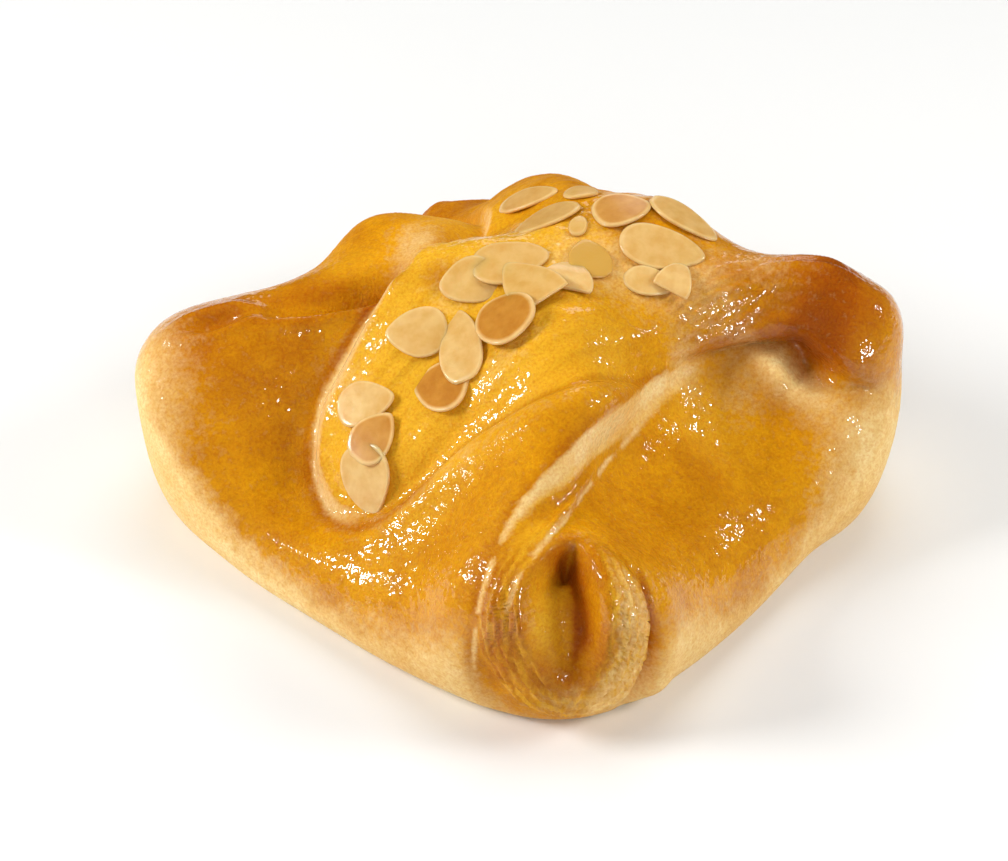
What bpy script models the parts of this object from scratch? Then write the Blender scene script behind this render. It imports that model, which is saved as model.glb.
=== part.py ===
"""Cheese danish: one square of sweet dough, its four sides folded to the middle, with almond flakes.

Lengths are millimetres here, and MM turns them into metres where a mesh is written.
The pastry has its right corner towards +X, its front corner towards -Y and a flat base at Z = 0.
Folds are placed in skin coordinates (u, v): millimetres along the plain skin from the crown,
u towards +X and v towards +Y, as if the skin were opened out flat.
"""

import math

import bmesh
import bpy
import numpy as np
from mathutils import Matrix, Vector

MM = 0.001

# The plain loaf under the folds: angles in degrees from +X
CROWN_HEIGHT = 51.5
CROWN_SHIFT = (7.0, 10.0)           # the crown lies a little behind and right of the middle
CROWN_BLUNTNESS = 0.4               # share of the top's radius over which the crown is rounded
SIDES = (                           # facing, distance of the base edge from the middle
    (-39.0, 53.5),
    (41.0, 50.0),
    (137.0, 49.0),
    (230.0, 50.7),
)
OUTLINE_SQUARENESS = 4.5
# The front sides are lower and rounder than the back ones:
# shoulder and bulge heights, rounding above the bulge, inset of the top's edge, power of its curve
BACK_SIDE = (27.0, 13.0, 0.3, 5.0, 1.75)
FRONT_SIDE = (19.0, 6.5, 1.5, 7.0, 1.5)
CORNERS = (                         # facing, reach past the outline, shoulder, bulge, width
    (2.0, 5.8, 43.0, 21.0, 20.0),   # right
    (104.0, -4.0, 29.0, 17.0, 22.0),  # back
    (178.0, 2.0, 38.5, 26.0, 19.0),   # left
    (-82.5, -2.0, 38.0, 22.0, 21.0),  # front
)
CORNER_SIDE = (0.9, 7.0, 1.5)       # rounding, inset and power of the top's curve at a corner
BULGE_REACH = (3.2, 1.8)            # from the base outline out to the bulge, more at a corner
BASE_TUCK = 2.2                     # how far the base edge tucks in
TUCKS = (                           # facing, how much more the base tucks in there, width
    (-13.0, 6.0, 21.0),
    (178.0, 0.8, 25.0),
)
BASE_FADE = 5.0                     # the folds die out over this height above the base

# Fold lines in skin coordinates
FRONT_SEAM = ((36, -14), (27, -21.5), (18, -34), (8, -48.3), (-1, -59.5), (-6, -69.5),
              (-9.5, -79), (-11.5, -90), (-9, -101), (-5, -110))
OVERLAY_EDGE = ((34, -16), (22.5, -26), (11, -33), (2.5, -37.5), (-6, -39.8), (-15, -42),
                (-26.5, -46.8), (-36, -48.6), (-43, -46), (-49, -40.5), (-51.3, -33.5),
                (-50, -28), (-47.5, -24), (-43.2, -20.2), (-39.2, -16.3), (-34.5, -11.3),
                (-29.5, -6.5), (-25.5, -2), (-19.5, 4), (-13, 13), (-9, 24), (-13, 45),
                (-26, 60), (-30, 76))
SWIRL_RIM = ((11.5, -65.3), (7.5, -66.8), (4.2, -70), (1.6, -74), (.6, -78.3), (1.3, -83),
             (4, -88.5), (8.5, -93.3), (13.4, -93.4), (16.4, -88.3), (16.8, -82), (16, -76),
             (14.8, -70.4), (13.6, -66.6))
SWIRL_GROOVE = ((13, -59.5), (17, -62.5), (20.5, -66), (24.4, -70.8), (27.4, -77.5),
                (30, -84.9), (31, -92), (30, -100), (27, -108))
RIGHT_ROLL = ((26, -20.5), (33, -13.6), (40.5, -9), (47, -7), (52, -8.5), (57, -10.5),
              (63, -10.5), (70, -8))
LEFT_LIP = ((-60, -3.6), (-48, -5.8), (-38, -6.2), (-30, -5.5))

# Depths and widths of the folds
SEAM_DROP = 6.8                     # from the front-left flap down to the front-right flap
SEAM_FACE = 9.5                     # widest part of the slope below the cut edge
OVERLAY_STEP = 6.0                  # thickness of the top flap at its free edge
OVERLAY_CREASE = 2.6                # depth of the crease along its front edge
SWIRL_DEPTH = 9.2
SWIRL_BAND = 12.0                   # width of the dough band round the swirl's hollow
ROLL_RADIUS = 7.5
ROLL_DROP = 6.6
ROLL_OVERHANG = 2.0                 # how far the roll leans out over its lower edge
OVERLAY_OVERHANG = 0.7              # how far the top flap leans out over its free edge
LIP_DROP = 4.2
KNOB_MIDDLE = (56.0, -3.5)          # the thick rounded end of the roll
KNOB_RADII = (10.0, 8.5)
KNOB_HEIGHT = 3.0

# Swells (+) and dips (-) of the dough: middle (u, v), radii, turn in degrees, height
SWELLS = (
    ((18, 9), (12.5, 10), 0, 5.0),      # shoulder of the crown towards the right corner
    ((47, 4), (9, 8), 0, 2.6),          # back of the roll
    ((-5, 57), (11, 15), 0, -4.2),      # back slope
    ((-10, 10), (9, 9), 0, -5.0),       # left of the crown
    ((42, 15), (14, 9), 0, -3.5),       # dip above the roll
    ((57, 9), (9, 8), 0, 2.0),          # top of the right knob
    ((59, -1), (8, 8), 0, 1.6),         # right knob
    ((51.5, -10.8), (4, 2.6), -15, -3.0),  # hollow under the roll
    ((41, -42), (18, 9), 51, 2.2),      # front-right flap
    ((44.5, -13), (8, 1.9), -16, 1.5),  # fold beside the hollow under the roll
    ((84, -20), (18, 12), 0, 3.2),      # side under the right knob
    ((-35, 1), (4.5, 5), 0, -2.8),      # pocket behind the left lip
    ((-23, 8), (3.6, 13), -25, 2.6),    # edge of the back-left flap
    ((-15, 12), (2.4, 10), -25, -1.8),  # groove between that edge and the top flap
    ((-30, 23), (13, 11), 0, 7.0),      # swell of the back-left flap
    ((-15, 50), (8, 10), 0, 2.5),       # swell towards the back corner
)
CURLED_CORNERS = (                      # middle, radii, turn, depth, rim height
    ((-63.5, -1.6), (6.2, 3.0), 0, 2.2, 0.7),   # left
    ((-14, 64), (9.0, 5.0), 104, 6.0, 0.8),     # back
)
UNEVENNESS = 0.45                       # slow waviness of hand-folded dough

# Mesh sizes
SKIN_SEGMENTS = 300
NUDGE = 0.002                       # step in the square for slopes
EVENINGS = 30                       # how often the net of points is evened out
EVENING_SHARE = 0.45                # how much of the way a point moves each time
DOUGH_TRIANGLES = 8600
CURVE_SAMPLES = 200
FLAT_BASE = 0.12                    # what lies lower than this is the flat base
WELD = 0.001
FLAKE_SEGMENTS = 12
FLAKE_RINGS = 4

# Almond flakes: u, v, length, width, turn of the long axis from +u
FLAKE_THICKNESS = 1.8
FLAKE_RISE = 0.25                   # a flake's middle lies this far above the dough
LAYER_RISE = 0.9                    # added for each flake it lies on
FLAKE_TAPER = 0.22                  # an almond is narrower towards its tip
BED_RADIUS = 4.0                    # how much dough round its middle a flake lies flat on
FLAKES = (                          # u, v, length, width, turn from +u, flakes under it
    (-27.5, -17.4, 11.5, 8.5, -30, 0),
    (-18.0, -24.0, 14.5, 8.0, -80, 1),
    (-22.3, -30.2, 11.3, 9.5, -20, 0),
    (-8.1, -22.7, 13.0, 10.5, -40, 1),
    (-3.9, -16.6, 16.0, 8.5, -50, 0),
    (-8.9, -8.4, 13.4, 9.5, 10, 0),
    (-16.5, -10.6, 11.0, 8.5, 30, 0),
    (2.2, -14.2, 9.5, 8.5, 80, 0),
    (-1.7, 4.4, 12.5, 8.0, 25, 0),
    (-3.7, 17.0, 12.0, 8.0, 5, 0),
    (10.8, 2.6, 10.5, 9.0, 20, 0),
    (3.6, -0.3, 6.0, 4.0, 80, 0),
    (5.8, -8.2, 10.0, 8.0, 100, 0),
    (18.5, -3.2, 15.0, 9.0, -8, 0),
    (17.6, -9.4, 9.0, 5.5, -10, 0),
    (22.1, -8.6, 9.0, 6.0, 70, 1),
    (21.4, 3.3, 13.0, 7.0, -25, 0),
    (4.0, 10.4, 6.5, 5.0, 0, 0),
    (-39.2, -26.6, 11.0, 7.5, 0, 0),
    (-37.4, -34.8, 9.5, 8.0, 30, 1),
    (-40.5, -41.0, 12.5, 9.0, -60, 0),
)

DOUGH_COLOUR = (0.68, 0.36, 0.07, 1.0)


def smooth(x, low, high):
    """Ease from 0 at low to 1 at high."""
    t = np.clip((x - low) / (high - low), 0, 1)
    return t * t * (3 - 2 * t)


def bell(x):
    """A smooth bump: 1 at zero, fading both ways."""
    return np.exp(-x * x)


def ellipse(u, v, centre, radii, turn):
    """Distance from an ellipse's centre as a share of its radius: 1 on the ellipse."""
    angle = math.radians(turn)
    along = (u - centre[0]) * math.cos(angle) + (v - centre[1]) * math.sin(angle)
    across = (v - centre[1]) * math.cos(angle) - (u - centre[0]) * math.sin(angle)
    return np.hypot(along / radii[0], across / radii[1])


def spot(u, v, centre, radii, turn):
    """A smooth bump with an elliptical foot."""
    return bell(ellipse(u, v, centre, radii, turn))


def curve_through(points, closed=False):
    """Points along the smooth Catmull-Rom curve through the given ones."""
    knots = np.array(points, dtype=float)
    if closed:
        spans = len(knots)
        padded = np.vstack([knots[-1:], knots, knots[:2]])
    else:
        spans = len(knots) - 1
        padded = np.vstack([2 * knots[0] - knots[1], knots, 2 * knots[-1] - knots[-2]])
    at = np.linspace(0, spans - 1e-9, CURVE_SAMPLES)
    first = at.astype(int)
    t = (at - first)[:, None]
    a, b, c, d = (padded[first + step] for step in range(4))
    return 0.5 * (2 * b + (c - a) * t + (2 * a - 5 * b + 4 * c - d) * t**2
                  + (3 * b - a - 3 * c + d) * t**3)


def gauge(points, u, v, closed=False):
    """Offset to the left of a curve, share of its length, distance past its ends, and left.

    Left is the unit vector across the curve at its nearest point.
    """
    line = curve_through(points, closed)
    heading = np.gradient(line, axis=0)
    heading /= np.linalg.norm(heading, axis=1)[:, None]
    steps = np.linalg.norm(np.diff(line, axis=0), axis=1)
    run = np.concatenate([[0], np.cumsum(steps)])
    places = np.stack([u, v], axis=1)
    nearest = np.zeros(len(places), dtype=int)
    best = np.full(len(places), np.inf)
    for index, point in enumerate(line):
        gap = ((places - point) ** 2).sum(axis=1)
        closer = gap < best
        nearest[closer] = index
        best[closer] = gap[closer]
    away = places - line[nearest]
    ahead = heading[nearest]
    along = (away * ahead).sum(axis=1)
    offset = ahead[:, 0] * away[:, 1] - ahead[:, 1] * away[:, 0]
    left = np.stack([-ahead[:, 1], ahead[:, 0]], axis=1)
    if closed:
        return offset, run[nearest] / run[-1], 0 * along, left
    past = np.where(nearest == 0, np.maximum(-along, 0), 0)
    past += np.where(nearest == len(line) - 1, np.maximum(along, 0), 0)
    share = np.clip((run[nearest] + np.where(past > 0, 0, along)) / run[-1], 0, 1)
    return offset, share, past, left


def between(angle, facing, width):
    """How far an angle lies from a facing, as a share of a width in degrees."""
    away = (angle - math.radians(facing) + np.pi) % (2 * np.pi) - np.pi
    return away / math.radians(width)


def outline(angle):
    """Radius of the base outline towards an angle, before the corners' tucks."""
    closeness = 0
    for facing, distance in SIDES:
        closeness = closeness + (np.maximum(np.cos(angle - math.radians(facing)), 0)
                                 / distance) ** OUTLINE_SQUARENESS
    radius = closeness ** (-1 / OUTLINE_SQUARENESS)
    for facing, reach, _, _, width in CORNERS:
        radius = radius + reach * bell(between(angle, facing, 0.75 * width))
    return radius


def profile_stations(angle):
    """Radius and height of the stations of the loaf's profile towards an angle."""
    radius = outline(angle)
    front = smooth(np.sin(angle), 0, -0.6)
    shoulder, bulge, rounding, inset, power = (
        back + (ahead - back) * front for back, ahead in zip(BACK_SIDE, FRONT_SIDE))
    broad = shoulder
    corner = 0
    tuck = 0
    for facing, more, width in TUCKS:
        tuck = tuck + more * bell(between(angle, facing, width))
    for facing, _, corner_shoulder, corner_bulge, width in CORNERS:
        away = between(angle, facing, width)
        share = np.exp(-np.abs(away) ** 2.2)
        shoulder = shoulder + (corner_shoulder - shoulder) * share
        broad = broad + (corner_shoulder - broad) * 0.8 * bell(away / 1.9)
        bulge = bulge + (corner_bulge - bulge) * share
        corner = corner + share
    corner = np.clip(corner, 0, 1)
    rounding = rounding * (1 - corner) + CORNER_SIDE[0] * corner
    inset = inset + (CORNER_SIDE[1] - inset) * corner
    power = power + (CORNER_SIDE[2] - power) * corner
    top = radius - inset
    widest = radius + BULGE_REACH[0] + BULGE_REACH[1] * corner
    stations = []
    for share in (0.0, 0.26, 0.52, 0.76, 0.93):
        blunt = CROWN_BLUNTNESS ** power
        fall = (share ** 2 + CROWN_BLUNTNESS ** 2) ** (power / 2) - blunt
        fall = fall / ((1 + CROWN_BLUNTNESS ** 2) ** (power / 2) - blunt)
        foot = broad + (shoulder - broad) * smooth(share, 0.3, 1)
        stations.append((share * top, foot + (CROWN_HEIGHT - foot) * (1 - fall)))
    lean = widest - radius
    stations += [
        (0.45 * top + 0.55 * widest, 0.88 * shoulder + 0.12 * bulge - 1.2),
        (widest - rounding, 0.55 * bulge + 0.45 * shoulder),
        (widest, bulge),
        (widest - 0.25 * lean - 0.3 * tuck, 0.42 * bulge),
        (widest - 0.8 * lean - 0.75 * tuck, 1.6 + 0 * bulge),
        (radius - BASE_TUCK - tuck, 0 * bulge),
    ]
    return np.array(stations)


def loaf(angle, rho):
    """The plain loaf: rho runs from 0 at the crown to 1 at the base edge."""
    r, z = profile_at(profile_stations(angle), rho)
    near_crown = np.clip(2 * rho, 0, 1)
    shift = (1 - near_crown) ** 2 * (1 + 2 * near_crown)
    x = r * np.cos(angle) + CROWN_SHIFT[0] * shift
    y = r * np.sin(angle) + CROWN_SHIFT[1] * shift
    return np.stack([x, y, np.maximum(z, 0)], axis=-1)


def profile_at(stations, rho):
    """Radius and height on the Catmull-Rom curve through a profile's stations."""
    spans = len(stations) - 1
    at = np.clip(rho * spans, 0, spans - 1e-9)
    first = at.astype(int)
    t = at - first
    columns = np.arange(rho.size)
    result = []
    for axis in range(2):
        rows = stations[:, axis]
        padded = np.concatenate([2 * rows[:1] - rows[1:2], rows, 2 * rows[-1:] - rows[-2:-1]])
        a, b, c, d = (padded[first + step, columns] for step in range(4))
        result.append(0.5 * (2 * b + (c - a) * t + (2 * a - 5 * b + 4 * c - d) * t**2
                             + (3 * b - a - 3 * c + d) * t**3))
    return np.maximum(result[0], 0), result[1]


def skin_coordinates(angle, rho):
    """How far along the plain loaf's skin each point lies from the crown, as (u, v)."""
    angles = np.linspace(-np.pi, np.pi, 361)
    shares = np.linspace(0, 1, 121)
    grid_angle, grid_rho = np.meshgrid(angles, shares, indexing="ij")
    skin = loaf(grid_angle.ravel(), grid_rho.ravel()).reshape(361, 121, 3)
    steps = np.linalg.norm(np.diff(skin, axis=1), axis=2)
    run = np.concatenate([np.zeros((361, 1)), np.cumsum(steps, axis=1)], axis=1)
    row = (angle + np.pi) / (2 * np.pi) * 360
    column = rho * 120
    i = np.clip(row.astype(int), 0, 359)
    j = np.clip(column.astype(int), 0, 119)
    f = row - i
    g = column - j
    length = ((run[i, j] * (1 - f) + run[i + 1, j] * f) * (1 - g)
              + (run[i, j + 1] * (1 - f) + run[i + 1, j + 1] * f) * g)
    return length * np.cos(angle), length * np.sin(angle)


def front_seam(u, v):
    """The front-left flap's cut edge, standing over the front-right flap."""
    offset, share, _, _ = gauge(FRONT_SEAM, u, v)
    drop = SEAM_DROP * np.interp(-v, [14, 19, 27, 44, 57, 66, 75, 90, 110],
                                 [0, .38, .76, 1, .91, .59, .3, .24, .09])
    width = SEAM_FACE * np.interp(-v, [14, 21, 31, 38, 47, 58, 69, 110],
                                  [.2, .45, .6, .75, .9, .95, .8, .42])
    recess = bell(np.maximum(offset - width, 0) / 15) * smooth(u * .5 - v, 120, 92)
    height = -drop * (1 - (1 - np.clip(offset / width, 0, 1)) ** 1.8) * recess
    edge = np.where(offset < 0, bell(offset / 1.3), bell(offset / 4))
    height -= .5 * edge * smooth(share, 0, .1)
    shoulder = np.interp(share, [0, .15, .3, .7, .85, 1], [0, 0, 1, 1, 0, 0])
    height += shoulder * bell((offset + 7) / 6)
    lip = np.interp(share, [0, .28, .36, .5, .6, .66], [0, 0, .6, 1, .5, 0])
    height += .9 * bell((offset - width + 1.6) / 1.3) * lip
    return height, offset


def overlay_flap(u, v):
    """The top flap: a tongue with a thick free edge at the left and a crease in front."""
    offset, share, _, left = gauge(OVERLAY_EDGE, u, v)
    step = OVERLAY_STEP * np.interp(share, [0, .32, .38, .44, .52, .6, .7, 1],
                                    [0, 0, .33, .73, 1, .93, .73, .3])
    softness = np.interp(share, [0, .3, .36, .42, .7, 1], [5, 5, 3.2, 2.6, 2.2, 4])
    reach = np.interp(share, [0, .3, .4, .5, 1], [5, 5, 8, 15, 18])
    height = -step * smooth(offset, -.25 * softness, softness) * bell(np.maximum(offset, 0) / reach)
    crease = OVERLAY_CREASE * np.interp(share, [0, .05, .3, .38, .44, 1], [.15, .77, 1, .6, 0, 0])
    height -= crease * np.where(offset > 0, bell(offset / 1.8), bell(offset / 6))
    lip = np.interp(share, [0, .06, .15, .3, .36, 1], [0, .5, 1, 1, .3, 0])
    height += 1.6 * bell((offset - 5.5) / 4) * lip
    pillow = np.interp(share, [.34, .4, .5, .56, 1], [0, 2.2, 2.0, .9, .9])
    rounding = np.interp(share, [.5, .6], [4.2, 2])
    height -= pillow * np.where(offset < 0, bell(offset / rounding), bell(offset / reach))
    height += bell((offset + 9) / 6) * np.interp(share, [0, .1, .4, 1], [0, .8, 1, .5])
    lean = bell((offset - .4) / 1.5) * smooth(share, .36, .46) * smooth(share, 1, .8)
    return height, left * (OVERLAY_OVERHANG * lean)[:, None]


def front_swirl(u, v, seam_offset):
    """The front corner's dough band, curled round a deep hollow."""
    offset, _, _, _ = gauge(SWIRL_RIM, u, v, closed=True)
    inward = np.maximum(offset, 0)
    band = np.clip(-offset / SWIRL_BAND, 0, 1)
    depth = SWIRL_DEPTH * (.30 + .70 * smooth(v, -93, -73))
    wall_width = 2.0 + 2.4 * smooth(u, 11, 5) * smooth(v, -72, -81)
    height = -depth * (1 - np.exp(-(inward / wall_width) ** 1.6))
    reach = smooth(v, -60, -76) * smooth(v, -116, -100)
    height += 2.4 * np.sin(np.pi * band) ** .8 * reach * (offset < 0) * smooth(seam_offset, -1, 4)
    height += (.7 + .7 * smooth(u, 8, 3)) * bell((offset + .9) / 1.2) * reach
    offset, share, past, _ = gauge(SWIRL_GROOVE, u, v)
    groove = np.interp(share, [0, .16, .34, .8, 1], [0, .3, 2.2, 2.8, 1])
    height -= groove * bell(offset / 1.3) * bell(past / 2)
    bank = np.interp(share, [0, .16, .4, .7, 1], [0, 0, 1, 1, 0])
    height += 1.3 * bell((offset - 5) / 4) * bank * bell(past / 3)
    return height


def right_roll(u, v):
    """The roll that runs out to the right corner, tucked under along its lower edge."""
    offset, share, past, left = gauge(RIGHT_ROLL, u, v)
    amount = np.interp(share, [0, .1, .24, .62, .95], [0, .5, 1, 1, 0]) * bell(past / 5)
    rise = np.clip(offset / ROLL_RADIUS, 0, 1)
    quarter_round = np.sqrt(np.clip(1 - (1 - rise) ** 2, 0, 1)) - 1
    recess = np.exp(-(np.maximum(-offset, 0) / 11) ** 1.6)
    height = ROLL_DROP * amount * quarter_round * recess
    height += 2.0 * bell((offset - 8) / 4.5) * amount * smooth(u, 56, 46)
    return height, -left * (ROLL_OVERHANG * bell((offset - 1.6) / 1.8) * amount)[:, None]


def right_knob(u, v):
    """The rounded end of the roll at the right corner, blunt below and soft above."""
    ring = ellipse(u, v, KNOB_MIDDLE, KNOB_RADII, -12)
    upper = smooth(v + .2 * (u - 57), -11, -5)
    blunt = 1 - np.minimum(ring, 1) ** 2.6
    return KNOB_HEIGHT * ((1 - upper) * blunt + upper * bell(1.1 * ring))


def corner_hollow(u, v, centre, radii, turn, depth, rim):
    """A dimple with a raised rim where dough curls in at a corner."""
    ring = ellipse(u, v, centre, radii, turn)
    return rim * bell((ring - 1.35) / .35) - depth * (1 - smooth(ring, .3, 1.1))


def left_lip(u, v):
    """The front-left flap's upper lip, with the back-left flap tucked in behind it."""
    offset, share, past, _ = gauge(LEFT_LIP, u, v)
    amount = np.interp(share, [0, .25, 1], [0, .8, 1]) * bell(past / 3)
    height = -LIP_DROP * amount * smooth(offset, -.4, 2.4) * bell(np.maximum(offset, 0) / 11)
    height += .9 * bell((offset + 1.8) / 1.6) * amount
    return height


def folds(u, v):
    """Height of the folded dough over the plain loaf, and its sideways push, at (u, v)."""
    height, seam_offset = front_seam(u, v)
    rise, push = overlay_flap(u, v)
    height += rise
    height += front_swirl(u, v, seam_offset)
    rise, roll_push = right_roll(u, v)
    height += rise
    height += left_lip(u, v)
    height += right_knob(u, v)
    for middle, radii, turn, depth, rim in CURLED_CORNERS:
        height += corner_hollow(u, v, middle, radii, turn, depth, rim)
    for middle, radii, turn, rise in SWELLS:
        height += rise * spot(u, v, middle, radii, turn)
    waves = np.sin(u / 9 + 1) * np.cos(v / 11 + 2) + .7 * np.sin(u / 6.3 + v / 7.1)
    height += UNEVENNESS * waves * bell(np.hypot(u, v) / 70)
    return height, push + roll_push


def disc_from_square(p, q):
    """Angle and share of the radius on a round disc for points of a square.

    The square's corners go to the pastry's corners, so the mesh is fine there.
    """
    x = p * np.sqrt(1 - q * q / 2)
    y = q * np.sqrt(1 - p * p / 2)
    ring = np.clip(np.hypot(x, y), 0, 1)
    return np.arctan2((x + y), (x - y)), .58 * ring + .42 * ring ** 4


def plain_skin(p, q):
    """Places of the plain loaf, and its skin coordinates, for points of the square."""
    angle, rho = disc_from_square(p, q)
    return loaf(angle, rho), np.stack(skin_coordinates(angle, rho), axis=1)


def folded_skin(p, q):
    """Places of the folded skin, and its skin coordinates, for points of the square.

    Each place is the plain loaf's, raised along its normal and pushed along its tangents.
    """
    plain, uv = plain_skin(p, q)
    far_p, far_p_uv = plain_skin(np.clip(p + NUDGE, -1, 1), q)
    near_p, near_p_uv = plain_skin(np.clip(p - NUDGE, -1, 1), q)
    far_q, far_q_uv = plain_skin(p, np.clip(q + NUDGE, -1, 1))
    near_q, near_q_uv = plain_skin(p, np.clip(q - NUDGE, -1, 1))
    slope_p = far_p - near_p
    slope_q = far_q - near_q
    turn_p = far_p_uv - near_p_uv
    turn_q = far_q_uv - near_q_uv
    outward = np.cross(slope_p, slope_q)
    outward /= np.maximum(np.linalg.norm(outward, axis=1), 1e-9)[:, None]
    area = turn_p[:, 0] * turn_q[:, 1] - turn_p[:, 1] * turn_q[:, 0]
    area = np.where(np.abs(area) < 1e-7, 1e-7, area)[:, None]
    along_u = (slope_p * turn_q[:, 1:] - slope_q * turn_p[:, 1:]) / area
    along_v = (slope_q * turn_p[:, :1] - slope_p * turn_q[:, :1]) / area
    height, push = folds(uv[:, 0], uv[:, 1])
    moved = outward * height[:, None] + along_u * push[:, :1] + along_v * push[:, 1:]
    places = plain + moved * smooth(plain[:, 2], 0, BASE_FADE)[:, None]
    places[:, 2] = np.maximum(places[:, 2], 0)
    return places, uv[:, 0], uv[:, 1]


def even_net(p, q, skin):
    """Move each inner point of the net towards the neighbours it is farther from.

    Steep folds then get as many faces as flat places. Lengths are read off the first skin.
    """
    lines = SKIN_SEGMENTS + 1
    first = skin.reshape(lines, lines, 3)
    p = p.reshape(lines, lines)
    q = q.reshape(lines, lines)
    inner = slice(1, -1)
    low = slice(0, -2)
    high = slice(2, None)
    for _ in range(EVENINGS):
        x = (p + 1) / 2 * (lines - 1)
        y = (q + 1) / 2 * (lines - 1)
        i = np.clip(x.astype(int), 0, lines - 2)
        j = np.clip(y.astype(int), 0, lines - 2)
        f = (x - i)[..., None]
        g = (y - j)[..., None]
        now = ((first[j, i] * (1 - f) + first[j, i + 1] * f) * (1 - g)
               + (first[j + 1, i] * (1 - f) + first[j + 1, i + 1] * f) * g)
        total = 1e-9
        new_p = 0
        new_q = 0
        for down, across in ((low, inner), (high, inner), (inner, low), (inner, high)):
            gap = now[down, across] - now[inner, inner]
            far = .2 + np.linalg.norm(gap, axis=-1)
            total = total + far
            new_p = new_p + far * p[down, across]
            new_q = new_q + far * q[down, across]
        p = p.copy()
        q = q.copy()
        p[inner, inner] += EVENING_SHARE * (new_p / total - p[inner, inner])
        q[inner, inner] += EVENING_SHARE * (new_q / total - q[inner, inner])
    return p.ravel(), q.ravel()


def dough_mesh():
    """The folded dough as one closed mesh in millimetres, with a fan of faces for its base."""
    sheet = bmesh.new()
    bmesh.ops.create_grid(sheet, x_segments=SKIN_SEGMENTS, y_segments=SKIN_SEGMENTS, size=1.0)
    rim = [edge for edge in sheet.edges if edge.is_boundary]
    base = bmesh.ops.holes_fill(sheet, edges=rim, sides=0)["faces"]
    middle = bmesh.ops.poke(sheet, faces=base)["verts"][0]
    middle.co.z = -1.0              # marks the base's middle, which isn't part of the skin
    mesh = bpy.data.meshes.new("dough")
    sheet.to_mesh(mesh)
    sheet.free()

    square = np.empty(3 * len(mesh.vertices), dtype=np.float32)
    mesh.vertices.foreach_get("co", square)
    square = square.reshape(-1, 3).astype(float)
    on_skin = square[:, 2] > -0.5
    places = np.zeros_like(square)
    p, q = square[on_skin, 0], square[on_skin, 1]
    p, q = even_net(p, q, folded_skin(p, q)[0])
    skin, u, v = folded_skin(p, q)
    places[on_skin] = skin
    mesh.vertices.foreach_set("co", places.astype(np.float32).ravel())
    mesh.update()
    return mesh, skin, u, v


def evaluated_mesh(piece):
    """A new mesh of a piece with its modifiers applied."""
    graph = bpy.context.evaluated_depsgraph_get()
    return bpy.data.meshes.new_from_object(piece.evaluated_get(graph))


def coarser(piece):
    """Decimate the dough to its share of the triangles and lay its base flat again."""
    triangles = sum(len(face.vertices) - 2 for face in piece.data.polygons)
    decimate = piece.modifiers.new("coarser", "DECIMATE")
    decimate.ratio = DOUGH_TRIANGLES / triangles
    decimate.use_collapse_triangulate = True
    mesh = evaluated_mesh(piece)
    piece.modifiers.clear()
    piece.data = mesh
    for vertex in mesh.vertices:
        if vertex.co.z < FLAT_BASE:
            vertex.co.z = 0.0


def almond_flake(number, place, skin, u, v):
    """One flake: a flattened, tapered ball lying on the dough at (u, v)."""
    flake_u, flake_v, length, width, turn, under = place
    near = skin[np.hypot(u - flake_u, v - flake_v) < BED_RADIUS]
    middle = near.mean(axis=0)
    _, _, axes = np.linalg.svd(near - middle, full_matrices=False)
    up = Vector(axes[2])
    if up.z < 0:
        up.negate()
    right = Vector((1, 0, 0))
    right = (right - up * right.dot(up)).normalized()
    frame = Matrix((right, up.cross(right), up)).transposed().to_4x4()
    frame.translation = Vector(middle) + up * (FLAKE_RISE + LAYER_RISE * under)

    ball = bmesh.new()
    bmesh.ops.create_uvsphere(ball, u_segments=FLAKE_SEGMENTS, v_segments=FLAKE_RINGS, radius=1.0)
    for vertex in ball.verts:
        vertex.co.y *= 1 - FLAKE_TAPER * vertex.co.x
    sizes = (length / 2, width / 2, FLAKE_THICKNESS / 2)
    bmesh.ops.scale(ball, verts=ball.verts, vec=sizes)
    turned = frame @ Matrix.Rotation(math.radians(turn), 4, "Z")
    bmesh.ops.transform(ball, verts=ball.verts, matrix=turned)
    mesh = bpy.data.meshes.new(f"flake_{number:02d}")
    ball.to_mesh(mesh)
    ball.free()
    return bpy.data.objects.new(mesh.name, mesh)


def fuse_flakes(pastry, skin, u, v):
    """Join the flakes to the dough in one union, and take them away."""
    flakes = bpy.data.collections.new("flakes")
    bpy.context.scene.collection.children.link(flakes)
    for number, place in enumerate(FLAKES, start=1):
        flakes.objects.link(almond_flake(number, place, skin, u, v))
    union = pastry.modifiers.new("fuse flakes", "BOOLEAN")
    union.operation = "UNION"
    union.operand_type = "COLLECTION"
    union.collection = flakes
    union.solver = "EXACT"
    mesh = evaluated_mesh(pastry)
    pastry.modifiers.clear()
    pastry.data = mesh
    for flake in list(flakes.objects):
        bpy.data.objects.remove(flake)
    bpy.data.collections.remove(flakes)


def keep_largest_body(pastry):
    """Drop loose scraps and the walls of hollows that the union sealed."""
    body = bmesh.new()
    body.from_mesh(pastry.data)
    bmesh.ops.remove_doubles(body, verts=body.verts, dist=WELD)
    bmesh.ops.dissolve_degenerate(body, edges=body.edges, dist=WELD)
    bmesh.ops.triangulate(body, faces=body.faces)
    unseen = set(body.verts)
    pieces = []
    while unseen:
        queue = [unseen.pop()]
        piece = list(queue)
        while queue:
            for edge in queue.pop().link_edges:
                for vertex in edge.verts:
                    if vertex in unseen:
                        unseen.remove(vertex)
                        queue.append(vertex)
                        piece.append(vertex)
        pieces.append(piece)
    pieces.sort(key=len, reverse=True)
    scraps = [vertex for piece in pieces[1:] for vertex in piece]
    bmesh.ops.delete(body, geom=scraps, context="VERTS")
    body.to_mesh(pastry.data)
    body.free()


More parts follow.
